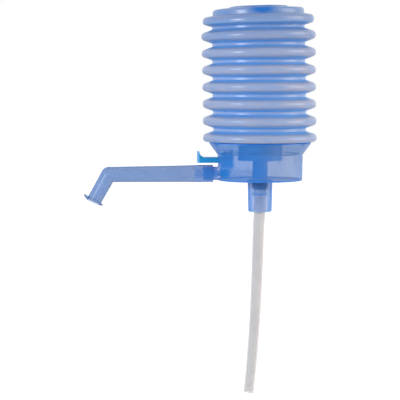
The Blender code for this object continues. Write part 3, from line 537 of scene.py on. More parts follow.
@dataclass(frozen=True)
class HosePlastic:
    """Clear soft hose, slightly clouded along its length, with painted light that makes it pale and solid
    where it sits inside the base.
    """

    name: str = "clear_hose"
    colour: Colour = (0.615, 0.615, 0.635)
    shade: Colour = (0.560, 0.560, 0.580)
    solidness: float = 0.5
    socket_light: Colour = (0.82, 0.88, 0.98)
    socket_light_above: float = -13.0 * MM

    def build(self) -> bpy.types.Material:
        """Write the material."""
        recipe = Recipe(self.name)
        cloud = recipe.grain(1 / (9.0 * MM), 3.0, (1.0, 1.0, 0.25))
        fine = recipe.grain(1 / (1.4 * MM), 2.0, (1.0, 1.0, 0.2))
        edge = recipe.ease(recipe.facing(), 0.5, 1.0)
        # Painted light: inside the base the hose is painted pale and solid, standing in for light that the
        # walls round it keep out.
        socket_light = recipe.ease(recipe.axes()[2], self.socket_light_above, self.socket_light_above + MM)
        tint = recipe.mix(recipe.ease(cloud, 0.3, 0.7), self.colour, self.shade)
        return recipe.principled({
            "Base Color": recipe.mix(socket_light, tint, self.socket_light),
            "Roughness": 0.22 + 0.08 * (cloud - 0.5),
            "Alpha": self.solidness + (1.0 - self.solidness) * (edge + socket_light),
            "Normal": recipe.bump(fine, 0.02 * MM),
        })


@dataclass(frozen=True)
class Rubber:
    """Matt moulded rubber or silicone with a fine grain."""

    name: str
    colour: Colour
    worn: Colour
    roughness: float = 0.6

    def build(self) -> bpy.types.Material:
        """Write the material."""
        recipe = Recipe(self.name)
        cloud = recipe.grain(1 / (3.0 * MM), 3.0)
        fine = recipe.grain(1 / (0.35 * MM), 2.0)
        return recipe.principled({
            "Base Color": recipe.mix(recipe.ease(cloud, 0.35, 0.75), self.colour, self.worn),
            "Roughness": self.roughness + 0.12 * (fine - 0.5),
            "Normal": recipe.bump(fine, 0.015 * MM),
        })


@dataclass(frozen=True)
class DrawnSteel:
    """Bright drawn steel wire with fine lines along it."""

    name: str = "drawn_steel"
    colour: Colour = (0.62, 0.62, 0.63)
    dull: Colour = (0.45, 0.45, 0.46)

    def build(self) -> bpy.types.Material:
        """Write the material."""
        recipe = Recipe(self.name)
        lines = recipe.grain(1 / (0.3 * MM), 3.0, (1.0, 0.1, 1.0))
        return recipe.principled({
            "Base Color": recipe.mix(recipe.ease(lines, 0.3, 0.8), self.colour, self.dull),
            "Metallic": 1.0,
            "Roughness": 0.24 + 0.14 * (lines - 0.5),
            "Normal": recipe.bump(lines, 0.004 * MM),
        })


@dataclass(frozen=True)
class ClearPlastic:
    """Thin clear moulding that only tints what lies behind it."""

    name: str
    tint: Colour
    deep: Colour
    clearness: float = 1.0
    index: float = 1.03

    def build(self) -> bpy.types.Material:
        """Write the material."""
        recipe = Recipe(self.name)
        cloud = recipe.grain(1 / (12.0 * MM), 3.0)
        fine = recipe.grain(1 / (1.1 * MM), 2.0)
        return recipe.principled({
            "Base Color": recipe.mix(recipe.ease(cloud, 0.3, 0.7), self.tint, self.deep),
            "Roughness": 0.05 + 0.04 * (fine - 0.5),
            "Transmission Weight": self.clearness,
            "IOR": self.index,
            "Normal": recipe.bump(fine, 0.004 * MM),
        })


@dataclass(frozen=True)
class StudioPaper:
    """White paper of the studio floor, which keeps the shadow."""

    name: str = "studio_paper"
    colour: Colour = (0.86, 0.86, 0.86)
    lift: float = 0.62

    def build(self) -> bpy.types.Material:
        """Write the material."""
        recipe = Recipe(self.name)
        fibre = recipe.grain(1 / (4.0 * MM), 3.0)
        seen = recipe.node("ShaderNodeLightPath", output="Is Camera Ray")
        lifted = recipe.mix(seen, (0.0, 0.0, 0.0), (self.lift,) * 3)
        return recipe.principled({
            "Base Color": self.colour,
            "Roughness": 0.85,
            "Specular IOR Level": 0.1,
            "Emission Color": lifted,
            "Emission Strength": 1.0,
            "Normal": recipe.bump(fibre, 0.02 * MM),
        })


@dataclass(frozen=True)
class Ring:
    """One ring of a round form: its centre, the way it faces, its radius and its tint marks."""

    centre: Vector
    facing: Vector
    radius: float
    fold: float = 0.0
    floor: float = 0.0


@dataclass(frozen=True)
class RingStack:
    """Round form through a row of rings, each in a plane across the XZ plane."""

    rings: Sequence[Ring]
    sides: int
    closed: bool = False

    def build(self, name: str, bend: Bend | None = None) -> bpy.types.Object:
        """Make the mesh object.

        Args:
            name: The object's name.
            bend: Moves each point of the finished form.

        Returns:
            The object, linked to the scene.
        """
        shape = bmesh.new()
        fold = shape.verts.layers.float.new("fold")
        floor = shape.verts.layers.float.new("floor")
        across = Vector((0, 1, 0))
        rows = []
        for ring in self.rings:
            lifted = ring.facing.cross(across)
            row = []
            for index in range(self.sides if ring.radius > 0 else 1):
                turn = math.tau * index / self.sides
                reach = across * math.sin(turn) + lifted * math.cos(turn)
                point = ring.centre + reach * ring.radius
                corner = shape.verts.new(bend(point) if bend else point)
                corner[fold] = ring.fold
                corner[floor] = ring.floor
                row.append(corner)
            rows.append(row)
        pairs = list(zip(rows, rows[1:]))
        if self.closed:
            pairs.append((rows[-1], rows[0]))
        for lower, upper in pairs:
            self._skin(shape, lower, upper)
        if not self.closed:
            for row in (rows[0], rows[-1]):
                if len(row) > 2:
                    shape.faces.new(row)
        bmesh.ops.recalc_face_normals(shape, faces=shape.faces)
        return object_from(name, shape)

    def _skin(self, shape: bmesh.types.BMesh, lower: list, upper: list) -> None:
        """Add the faces between two rows of points.

        Args:
            shape: The mesh in the making.
            lower: The points of one ring.
            upper: The points of the next ring.
        """
        for index in range(self.sides):
            after = index + 1
            corners = (
                lower[index % len(lower)],
                lower[after % len(lower)],
                upper[after % len(upper)],
                upper[index % len(upper)],
            )
            apart = list(dict.fromkeys(corners))
            if len(apart) > 2:
                shape.faces.new(apart)


def object_from(name: str, shape: bmesh.types.BMesh) -> bpy.types.Object:
    """Turn a mesh in the making into an object of the scene.

    Args:
        name: The object's name.
        shape: The mesh, which is freed.

    Returns:
        The new object.
    """
    mesh = bpy.data.meshes.new(name)
    shape.to_mesh(mesh)
    shape.free()
    made = bpy.data.objects.new(name, mesh)
    bpy.context.scene.collection.objects.link(made)
    return made


def turned(
    name: str, profile: Iterable[tuple], sides: int, closed: bool, bend: Bend | None = None
) -> bpy.types.Object:
    """Turn a half-section about the pump's axis.

    Args:
        name: The object's name.
        profile: (radius, height) points, each with its fold and floor marks if it has them.
        sides: Facets round a full turn.
        closed: Whether the last point joins the first.
        bend: Moves each point of the finished form.

    Returns:
        The new object.
    """
    up = Vector((0, 0, 1))
    rings = [Ring(Vector((0, 0, height)), up, radius, *marks) for radius, height, *marks in profile]
    return RingStack(rings, sides, closed).build(name, bend)


def bar(name: str, start: Sequence, end: Sequence, radius: float, sides: int) -> bpy.types.Object:
    """Make a round bar between two points, as a tool that cuts or joins.

    Args:
        name: The object's name.
        start: The middle of one end.
        end: The middle of the other end.
        radius: The bar's radius.
        sides: Facets round it.

    Returns:
        The new object.
    """
    start, end = Vector(start), Vector(end)
    along = (end - start).normalized()
    rings = [Ring(start, along, radius), Ring(end, along, radius)]
    return RingStack(rings, sides).build(name)


def box_tool(name: str, low: Sequence, high: Sequence) -> bpy.types.Object:
    """Make a box between two corners, as a tool that cuts or joins.

    Args:
        name: The object's name.
        low: The lowest corner.
        high: The highest corner.

    Returns:
        The new object.
    """
    low, high = Vector(low), Vector(high)
    shape = bmesh.new()
    bmesh.ops.create_cube(shape, size=1)
    bmesh.ops.scale(shape, vec=high - low, verts=shape.verts)
    bmesh.ops.translate(shape, vec=(low + high) / 2, verts=shape.verts)
    return object_from(name, shape)


def settle(piece: bpy.types.Object) -> None:
    """Replace a piece's mesh by the one that its modifiers give.

    Args:
        piece: The mesh object.
    """
    bpy.context.view_layer.update()
    graph = bpy.context.evaluated_depsgraph_get()
    mesh = bpy.data.meshes.new_from_object(piece.evaluated_get(graph))
    piece.modifiers.clear()
    piece.data = mesh


def work(piece: bpy.types.Object, tools: Iterable[bpy.types.Object], way: Cutting) -> None:
    """Join tools to a piece or cut it with them, then throw the tools away.

    Args:
        piece: The mesh object that changes.
        tools: The solids that work on it.
        way: Whether they join or cut.
    """
    tools = list(tools)
    for tool in tools:
        step = piece.modifiers.new(tool.name, "BOOLEAN")
        step.operation = way.value
        step.solver = "EXACT"
        step.object = tool
    settle(piece)
    for tool in tools:
        bpy.data.objects.remove(tool, do_unlink=True)


def shade(piece: bpy.types.Object, sharp: float = 34.0) -> None:
    """Shade a piece smooth apart from its sharp edges.

    Args:
        piece: The mesh object.
        sharp: The angle in degrees from which an edge stays sharp.
    """
    piece.data.shade_smooth()
    piece.data.set_sharp_from_angle(angle=math.radians(sharp))


def dress(piece: bpy.types.Object, material: bpy.types.Material) -> None:
    """Give a piece its material on the object's own slots.

    Args:
        piece: A new piece or a CAD node.
        material: The finish.
    """
    if not piece.material_slots:
        piece.data.materials.append(material)
    for place in piece.material_slots:
        place.link = "OBJECT"
        place.material = material


def hand_in(
    piece: bpy.types.Object, material: bpy.types.Material, body: Body, slot: Slot, *nodes: str
) -> None:
    """Dress a new piece, attach it to the frame and report it.

    Args:
        piece: The new piece.
        material: Its finish.
        body: What it moves with.
        slot: The record's slot of its finish, which is not used.
        nodes: The CAD nodes that it stands for.
    """
    dress(piece, material)
    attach(piece, body.value)
    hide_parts(*nodes)
    LOG.info("%s: %d faces on %s, for %s", piece.name, len(piece.data.polygons), body.value, nodes)


def round_edges(piece: bpy.types.Object, width: float, angle: float) -> None:
    """Round the sharp edges of a piece by a modifier.

    Args:
        piece: The mesh object.
        width: How wide the rounding is.
        angle: The angle in degrees from which an edge is rounded.
    """
    edge = piece.modifiers.new("Edge", "BEVEL")
    edge.width = width
    edge.segments = 3
    edge.limit_method = "ANGLE"
    edge.angle_limit = math.radians(angle)


def aim(
    data: bpy.types.ID, target: Vector, azimuth: float, elevation: float, distance: float
) -> bpy.types.Object:
    """Put a camera or lamp where it looks at the pump.

    Args:
        data: The camera or lamp.
        target: What it looks at.
        azimuth: Its direction in degrees, 0 in front of the pump.
        elevation: How high it stands, in degrees.
        distance: How far it is from the target.

    Returns:
        The new object.
    """
    made = bpy.data.objects.new(data.name, data)
    bpy.context.scene.collection.objects.link(made)
    turn, lift = math.radians(azimuth), math.radians(elevation)
    back = Vector((math.sin(turn) * math.cos(lift), -math.cos(turn) * math.cos(lift), math.sin(lift)))
    made.location = target + back * distance
    made.rotation_euler = (-back).to_track_quat("-Z", "Y").to_euler()
    return made


def arc(
    centre: tuple[float, float], radius: float, start: float, end: float, count: int
) -> list[tuple[float, float]]:
    """Give points along a circular arc in a half-section.

    Args:
        centre: (radius, height) of the arc's middle.
        radius: The arc's radius.
        start: The first angle in degrees, 0 outwards and 90 up.
        end: The last angle.
        count: How many points.

    Returns:
        The (radius, height) points.
    """
    turns = [math.radians(start + (end - start) * index / (count - 1)) for index in range(count)]
    return [(centre[0] + radius * math.cos(turn), centre[1] + radius * math.sin(turn)) for turn in turns]


@dataclass(frozen=True)
class Camera:
    """Long lens, level with the fourth rib, that sees the pump as the photograph does."""

    target: tuple[float, float, float] = (-47.6 * MM, 0.0, -15.7 * MM)
    distance: float = 1.3
    look_down: float = 4.34
    frame_width: float = 317.6 * MM
    sensor: float = 36.0

    def build(self) -> None:
        """Make the camera and use it."""
        data = bpy.data.cameras.new("studio_camera")
        data.sensor_width = self.sensor
        data.lens = self.sensor * self.distance / self.frame_width
        bpy.context.scene.camera = aim(data, Vector(self.target), 0.0, self.look_down, self.distance)


@dataclass(frozen=True)
class Softbox:
    """One soft lamp, placed by its direction from the pump."""

    name: str
    azimuth: float
    elevation: float
    distance: float
    width: float
    height: float
    power: float
    colour: Colour

    def build(self, target: Vector) -> None:
        """Make the lamp.

        Args:
            target: What it shines at.
        """
        data = bpy.data.lights.new(self.name, "AREA")
        data.shape = "RECTANGLE"
        data.size = self.width
        data.size_y = self.height
        data.energy = self.power
        data.color = self.colour
        aim(data, target, self.azimuth, self.elevation, self.distance)


@dataclass(frozen=True)
class Studio:
    """White floor, white surroundings and two softboxes."""

    floor_height: float = -0.30
    floor_half: float = 6.0
    surround: float = 0.625
    middle: tuple[float, float, float] = (0.0, 0.0, 60.0 * MM)
    softboxes: tuple[Softbox, ...] = (
        Softbox("left_softbox", -45.0, 9.0, 1.2, 0.40, 0.19, 7.5, (0.93, 0.97, 1.0)),
        Softbox("right_softbox", 80.0, 9.0, 1.2, 0.9, 0.8, 11.0, (1.0, 0.87, 0.74)),
    )

    def build(self) -> None:
        """Make the floor, the world and the lamps."""
        half = self.floor_half
        mesh = bpy.data.meshes.new("studio_floor")
        around = ((-half, -half), (half, -half), (half, half), (-half, half))
        corners = [(x, y, self.floor_height) for x, y in around]
        mesh.from_pydata(corners, [], [(0, 1, 2, 3)])
        floor = bpy.data.objects.new("studio_floor", mesh)
        bpy.context.scene.collection.objects.link(floor)
        dress(floor, StudioPaper().build())
        for softbox in self.softboxes:
            softbox.build(Vector(self.middle))
        self._surround()
        bpy.context.scene.view_settings.view_transform = "Standard"

    def _surround(self) -> None:
        """Make the world white to the eye, and plain as a light."""
        recipe = Recipe("studio_world", world=True)
        rays = ("Is Camera Ray", "Is Transmission Ray", "Is Glossy Ray")
        seen, *others = [recipe.node("ShaderNodeLightPath", output=ray) for ray in rays]
        for other in others:
            seen = recipe.node("ShaderNodeMath", {"operation": "MAXIMUM"}, {0: seen, 1: other})
        level = self.surround + (1.0 - self.surround) * seen
        sky = recipe.node("ShaderNodeBackground", {}, {"Color": (1.0, 1.0, 1.0), "Strength": level})
        bpy.context.scene.world = recipe.close(sky, "ShaderNodeOutputWorld")


@dataclass(frozen=True)
class DipTube:
    """Clear hose from the riser's socket down into the jug, cut a little aslant."""

    route: tuple[tuple[float, float], ...] = (
        (0.0, 2.0 * MM),
        (0.0, -12.0 * MM),
        (-0.4 * MM, -26.0 * MM),
        (-1.0 * MM, -38.0 * MM),
        (-1.5 * MM, -52.0 * MM),
        (-2.3 * MM, -77.0 * MM),
        (-3.3 * MM, -100.0 * MM),
        (-4.6 * MM, -122.0 * MM),
        (-6.2 * MM, -144.0 * MM),
        (-7.9 * MM, -162.0 * MM),
        (-8.7 * MM, -170.0 * MM),
    )
    top_radius: float = 4.65 * MM
    end_radius: float = 4.05 * MM
    wall: float = 1.1 * MM
    runs: int = 6
    sides: int = 48
    leaves_at: float = -12.0 * MM
    slant: float = 4.0

    def _points(self) -> list[Vector]:
        """Read points off a smooth curve through the route."""
        knots = [Vector((x, 0, z)) for x, z in self.route]
        ends = [knots[0] * 2 - knots[1]] + knots + [knots[-1] * 2 - knots[-2]]
        points = [knots[0]]
        for before, start, end, after in zip(ends, ends[1:], ends[2:], ends[3:]):
            lean_out, lean_in = (end - before) / 2, (after - start) / 2
            bend = (start - end) * 2 + lean_out + lean_in
            pull = (end - start) * 3 - lean_out * 2 - lean_in
            for run in range(1, self.runs + 1):
                share = run / self.runs
                points.append(start + lean_out * share + pull * share**2 + bend * share**3)
        return points

    def build(self) -> None:
        points = self._points()
        lengths = [(after - before).length for before, after in zip(points, points[1:])]
        total = sum(lengths)
        outer, inner = [], []
        for index, point in enumerate(points):
            before, after = points[max(index - 1, 0)], points[min(index + 1, len(points) - 1)]
            facing = (after - before).normalized()
            if index == len(points) - 1:
                facing.rotate(Matrix.Rotation(math.radians(self.slant), 3, "Y"))
            share = sum(lengths[:index]) / total
            radius = self.top_radius + (self.end_radius - self.top_radius) * share
            outer.append(Ring(point, facing, radius))
            inner.append(Ring(point, facing, radius - self.wall))
        tube = RingStack(outer + inner[::-1], self.sides, closed=True).build("dip_tube_hose")
        shade(tube)
        hand_in(tube, HosePlastic().build(), Body.ROOT, Slot.TUBE, "dip_tube")


@dataclass(frozen=True)
class Bellows:
    """Ribbed skin and the crown that the palm presses, leaning a little as the real one does."""

    ribs: int = 8
    pitch: float = 13.4 * MM
    crest_round: float = 3.1 * MM
    crest_half_angle: float = 66.0
    crest_fullness: float = 1.12
    rib_depth: float = 8.3 * MM
    valley_half: float = 1.15 * MM
    crease_round: float = 0.45 * MM
    skin: float = 0.9 * MM
    flare_wall: float = 1.8 * MM
    cuff_wall: float = 1.5 * MM
    cuff_depth: float = 0.2 * MM
    seat_gap: float = 0.3 * MM
    crown_radius: float = 36.1 * MM
    crown_round: float = 2.2 * MM
    disc_foot: float = 26.6 * MM
    disc_top: float = 23.4 * MM
    disc_rise: float = 1.8 * MM
    disc_round: float = 1.2 * MM
    crown_wall: float = 1.2 * MM
    lean: float = 1.75
    drift: float = -1.8 * MM
    top_sink: float = 1.2 * MM
    top_shrink: float = 0.030
    worn_from: float = 0.885
    worn_over: float = 0.06
    dent: float = 0.16 * MM
    fine_dent: float = 0.10 * MM
    fixed_height: float = 30.3 * MM
    travel: float = 60.0 * MM
    sides: int = 144

    def _bend(self, low: float, high: float, shrink: float) -> Bend:
        """Give the lean that grows towards the top, with small dents of use.

        Args:
            low: Where the lean starts.
            high: Where it is full.
            shrink: How much the top rib has shrunk.

        Returns:
            What moves a point.
        """

        def bend(point: Vector) -> Vector:
            """Move one point to its place on the leaning, dented form."""
            share = max(0.0, (point.z - low) / (high - low))
            tilt = math.radians(self.lean) * share**2
            turn = math.atan2(point.y, point.x)
            wave = self.dent * math.sin(2 * turn + 41 * share)
            wave += self.fine_dent * math.sin(5 * turn - 23 * share)
            wave *= min(1.0, share * 6)
            worn = min(1.0, max(0.0, (share - self.worn_from) / self.worn_over))
            swell = 1 + wave / max(point.xy.length, 10 * MM) - shrink * worn
            sway = self.drift * (0.15 + 0.85 * share)
            return Vector((
                point.x * swell + sway,
                point.y * swell,
                point.z + math.tan(tilt) * point.x + 0.5 * wave - self.top_sink * worn,
            ))

        return bend

    def _outside(self, crest: float, first: float) -> list[tuple]:
        """Half-section of the ribs' outside, from the top down.

        Args:
            crest: The crests' radius.
            first: The lowest rib's height.

        Returns:
            (radius, height, fold) points, with the floor mark on the creases' floors.
        """
        centre = crest - self.crest_round
        valley = crest - self.rib_depth
        points: list[tuple] = []
        for index in reversed(range(self.ribs)):
            height = first + index * self.pitch
            tip = arc((centre, 0.0), self.crest_round, self.crest_half_angle, -self.crest_half_angle, 15)
            for radius, rise in tip:
                full = self.crest_fullness if rise > 0 or index > 0 else 1.0
                fold = 0.3 * max(0.0, abs(rise) / self.crest_round - 0.5)
                if index == self.ribs - 1 and rise < 0:
                    fold = min(0.75, -rise / self.crest_round)
                points.append((radius, height + rise * full, fold))
            if index == 0:
                break
            middle = height - self.pitch / 2
            foot = points[-1]
            root = (valley + self.crease_round * 0.6, middle + self.valley_half + self.crease_round * 0.4)
            flank = [(0.2, 0.42), (0.45, 0.8), (0.7, 0.95), (0.88, 1.0), (1.0, 1.0)]
            upper = [
                (foot[0] + (root[0] - foot[0]) * share, foot[1] + (root[1] - foot[1]) * share, fold)
                for share, fold in flank
            ]
            # The floor mark paints a highlight on the creases' floors.
            floor = [
                (valley + 0.05 * MM, middle + self.valley_half, 0.9, 0.2),
                (valley, middle + self.valley_half * 0.6, 0.3, 1.0),
                (valley, middle, 0.3, 1.0),
            ]
            half = upper + floor
            points += half
            points += [(radius, 2 * middle - level, *marks) for radius, level, *marks in half[-2::-1]]
        return points

    def build(self) -> None:
        """Make and dress the skin and the crown."""
        material = BellowsPlastic().build()
        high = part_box("bellows")[1]
        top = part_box("bellows_crown")[1].z
        first = self.fixed_height + self.seat_gap + self.crest_round
        self._build_skin(material, high.x, first, high.z)
        self._build_crown(material, high.z, top, first)

    def _build_skin(self, material: bpy.types.Material, crest: float, first: float, neck: float) -> None:
        """Make the ribbed skin down to the flared rim.

        Args:
            material: The bellows' finish.
            crest: The crests' radius.
            first: The lowest rib's height.
            neck: Where the crown starts.
        """
        top_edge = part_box("base_cup")[1].y - self.flare_wall - self.seat_gap
        neck_radius = self.crown_radius - 0.5 * MM
        outside = [
            (neck_radius, neck + 0.5 * MM, 0.5),
            (neck_radius + 0.5 * MM, neck - 0.1 * MM, 0.5),
        ]
        outside += self._outside(crest, first)
        outside += [
            (crest - self.crest_round - 1.5 * MM, self.fixed_height + self.seat_gap + 0.1 * MM, 0.5),
            (top_edge, self.fixed_height + self.seat_gap, 0.9),
            (top_edge, self.fixed_height - self.cuff_depth, 0.9),
        ]
        inside = [
            (top_edge - self.cuff_wall, self.fixed_height - self.cuff_depth, 0.9),
            (top_edge - self.cuff_wall, self.fixed_height, 0.9),
        ]
        centre = crest - self.crest_round
        valley = crest - self.rib_depth - self.skin
        for index in range(self.ribs):
            height = first + index * self.pitch
            inside += [
                (radius, level, 0.0)
                for radius, level in arc((centre, height), self.crest_round - self.skin, -60.0, 60.0, 7)
            ]
            if index < self.ribs - 1:
                inside += [
                    (valley, height + self.pitch / 2 + side * (self.valley_half + 0.3 * MM), 0.9)
                    for side in (-1, 1)
                ]
        inside.append((neck_radius - self.skin, neck + 0.5 * MM, 0.8))
        bend = self._bend(first, neck, self.top_shrink)
        skin = turned("bellows_skin", outside + inside, self.sides, True, bend)
        shade(skin, 60.0)
        hand_in(skin, material, Body.ROOT, Slot.BELLOWS, "bellows")
        height = neck - self.fixed_height
        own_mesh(skin)

    def _build_crown(self, material: bpy.types.Material, neck: float, top: float, first: float) -> None:
        """Make the crown with its raised disc.

        Args:
            material: The bellows' finish.
            neck: Where the crown starts.
            top: The raised disc's height.
            first: The lowest rib's height, where the lean starts.
        """
        ledge = top - self.disc_rise
        wall = self.crown_wall
        radius = self.crown_radius
        edge = arc((radius - self.crown_round, ledge - self.crown_round), self.crown_round, 90.0, 0.0, 7)
        outside = [(0.0, top - 0.2 * MM, 0.5), (self.disc_top * 0.6, top - 0.1 * MM, 0.5)]
        middle = (self.disc_top - self.disc_round, top - self.disc_round)
        outside += [(*point, 0.5) for point in arc(middle, self.disc_round, 90.0, 30.0, 4)]
        outside += [
            (self.disc_foot - 0.5 * MM, ledge + 0.15 * MM, 0.7),
            (self.disc_foot + 0.4 * MM, ledge, 0.7),
            (self.disc_foot + 2.5 * MM, ledge, 0.4),
        ]
        outside += [(*point, 0.42) for point in edge]
        outside += [
            (radius, neck + 1.0 * MM, 0.42),
            (radius + 0.1 * MM, neck + 0.2 * MM, 0.5),
            (radius + 0.1 * MM, neck - 0.3 * MM, 0.6),
        ]
        inside = [
            (radius - wall, neck - 0.3 * MM, 0.8),
            (radius - wall, ledge - self.crown_round, 0.5),
            (radius - self.crown_round, ledge - wall, 0.5),
            (self.disc_foot, ledge - wall, 0.5),
            (self.disc_top, top - wall - 0.2 * MM, 0.5),
            (0.0, top - wall - 0.3 * MM, 0.5),
        ]
        crown = turned("palm_crown", outside + inside, self.sides, False, self._bend(first, neck, 0.0))
        shade(crown, 60.0)
        hand_in(crown, material, Body.CROWN, Slot.BELLOWS, "bellows_crown")


@dataclass(frozen=True)
class Base:
    """Base moulding: cup with flared rim, riser, channel, outlet stub and lever pocket."""

    shoulder: float = 33.8 * MM
    shoulder_height: float = 20.7 * MM
    foot: float = 33.5 * MM
    foot_round: float = 1.0 * MM
    wall: float = 2.0 * MM
    flare_wall: float = 1.8 * MM
    rim_round: float = 0.8 * MM
    floor: float = 1.8 * MM
    shelf_width: float = 2.6 * MM
    shelf_thickness: float = 1.6 * MM
    shelf_height: float = 20.4 * MM
    riser: float = 5.9 * MM
    riser_height: float = 15.4 * MM
    sleeve: float = 6.3 * MM
    sleeve_depth: float = 12.0 * MM
    tube_socket: float = 5.0 * MM
    seal_pocket: float = 5.75 * MM
    socket_stop: float = 2.3 * MM
    chamber: float = 3.7 * MM
    chamber_height: float = 9.0 * MM
    collar_inner: float = 7.2 * MM
    collar: float = 8.1 * MM
    collar_depth: float = 7.0 * MM
    stem_seat: float = 10.15 * MM
    stem_seat_depth: float = 0.6 * MM
    outlet_height: float = 5.5 * MM
    stub: float = 5.4 * MM
    stub_end: float = 45.0 * MM
    groove: tuple[float, float] = (40.65 * MM, 42.35 * MM)
    nose: float = 4.3 * MM
    nose_end: float = 51.8 * MM
    channel: float = 3.7 * MM
    channel_bore: float = 2.3 * MM
    pocket_near: float = 22.0 * MM
    pocket_far: float = 31.0 * MM
    pocket_half: float = 6.0 * MM
    pocket_wall: float = 1.4 * MM
    pocket_floor: float = 11.4 * MM
    slot_half: float = 4.9 * MM
    slot_low: float = 12.3 * MM
    slot_high: float = 19.2 * MM
    sides: int = 144

    def _profile(self, rim_radius: float, rim_height: float) -> list[tuple[float, float]]:
        """Half-section of the cup with its riser, sleeve and collar.

        Args:
            rim_radius: The flared rim's radius.
            rim_height: The flared rim's height.

        Returns:
            (radius, height) points from the riser's top round to the chamber's top.
        """
        inner = self.shoulder - self.wall
        shelf_inner = inner - self.shelf_width
        slope = (rim_radius - self.shoulder) / (rim_height - self.rim_round - self.shoulder_height)
        flare_foot = self.shoulder + slope * (self.shelf_height - self.shoulder_height) - self.flare_wall
        flare_top = self.shoulder + slope * (rim_height - self.shoulder_height) - self.flare_wall
        middle = (rim_radius - self.rim_round, rim_height - self.rim_round)
        rim = arc(middle, self.rim_round, 90.0, -10.0, 6)
        foot = arc((self.foot - self.foot_round, self.foot_round), self.foot_round, 0.0, -90.0, 6)
        return [
            (0.0, self.riser_height),
            (self.riser - 0.4 * MM, self.riser_height),
            (self.riser, self.riser_height - 0.4 * MM),
            (self.riser, self.floor + 0.6 * MM),
            (self.riser + 0.6 * MM, self.floor),
            (inner - 1.0 * MM, self.floor),
            (inner, self.floor + 1.0 * MM),
            (inner, self.shelf_height - self.shelf_thickness - self.shelf_width / 2),
            (shelf_inner, self.shelf_height - self.shelf_thickness),
            (shelf_inner, self.shelf_height),
            (flare_foot, self.shelf_height),
            (flare_top, rim_height),
            *rim,
            (self.shoulder + 0.25 * MM, self.shoulder_height + 0.25 * MM),
            (self.shoulder, self.shoulder_height - 0.15 * MM),
            *foot,
            (self.stem_seat, 0.0),
            (self.stem_seat, self.stem_seat_depth),
            (self.collar, self.stem_seat_depth),
            (self.collar, -self.collar_depth + 0.3 * MM),
            (self.collar - 0.3 * MM, -self.collar_depth),
            (self.collar_inner, -self.collar_depth),
            (self.collar_inner, 0.0),
            (self.sleeve, 0.0),
            (self.sleeve, -self.sleeve_depth + 0.3 * MM),
            (self.sleeve - 0.3 * MM, -self.sleeve_depth),
            (self.seal_pocket, -self.sleeve_depth),
            (self.seal_pocket, 2.1 * MM - self.sleeve_depth),
            (self.tube_socket, 2.1 * MM - self.sleeve_depth),
            (self.tube_socket, self.socket_stop),
            (self.chamber, self.socket_stop),
            (self.chamber, self.chamber_height),
            (0.0, self.chamber_height),
        ]

    def build(self) -> None:
        """Make and dress the moulding."""
        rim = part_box("base_cup")[1]
        cup = turned("base_shell", self._profile(rim.y, rim.z), self.sides, False)
        inner = self.shoulder - self.wall
        over = 1.0 * MM
        height = self.outlet_height
        outer_half = self.pocket_half + self.pocket_wall
        near = self.pocket_near - self.pocket_wall
        gap = 0.3 * MM
        bite = 1.2 * MM
        deep = -9 * MM
        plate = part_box("valve_plate")[1].z - 1.6 * MM
        rim_far = math.sqrt((inner - self.shelf_width) ** 2 - outer_half**2)
        nose_chamfer = 0.8 * MM
        along = Vector((-1, 0, 0))
        stub_rings = [
            Ring(Vector((bite - self.shoulder, 0, height)), along, self.stub),
            Ring(Vector((0.3 * MM - self.stub_end, 0, height)), along, self.stub),
            Ring(Vector((-self.stub_end, 0, height)), along, self.stub - 0.3 * MM),
            Ring(Vector((-self.stub_end, 0, height)), along, self.nose),
            Ring(Vector((nose_chamfer - self.nose_end, 0, height)), along, self.nose),
            Ring(Vector((-self.nose_end, 0, height)), along, self.nose - nose_chamfer / 2),
        ]
        pocket_low = self.pocket_floor - self.pocket_wall
        shelf_low = self.shelf_height - 0.8 * MM
        work(cup, [
            box_tool("pocket_box", (-inner - bite, -outer_half, pocket_low),
                     (-near, outer_half, self.shelf_height - gap)),
            box_tool("pocket_rim", (-rim_far, -outer_half, shelf_low), (-near, outer_half, plate - gap)),
            RingStack(stub_rings, 64).build("stub"),
            bar("channel", (bite - self.riser, 0, height), (gap - inner, 0, height), self.channel, 48),
        ], Cutting.JOIN)
        bottom = self.stub - 1.15 * MM
        groove = [
            Ring(Vector((-place, 0, height)), along, radius)
            for place, radius in zip(self.groove + self.groove[::-1], (self.stub + over,) * 2 + (bottom,) * 2)
        ]
        work(cup, [
            box_tool("pocket_room", (-self.pocket_far, -self.pocket_half, self.pocket_floor),
                     (-self.pocket_near, self.pocket_half, plate + over)),
            box_tool("lever_slot", (-self.shoulder - over, -self.slot_half, self.slot_low),
                     (over - self.pocket_far, self.slot_half, self.slot_high)),
            bar("channel_bore", (0, 0, height), (-self.nose_end - over, 0, height), self.channel_bore, 32),
            RingStack(groove, 64, closed=True).build("seal_groove"),
        ], Cutting.CUT)
        shade(cup, 30.0)
        deeper_blue = (0.045, 0.290, 0.920)
        outside = self.collar + 0.6 * MM
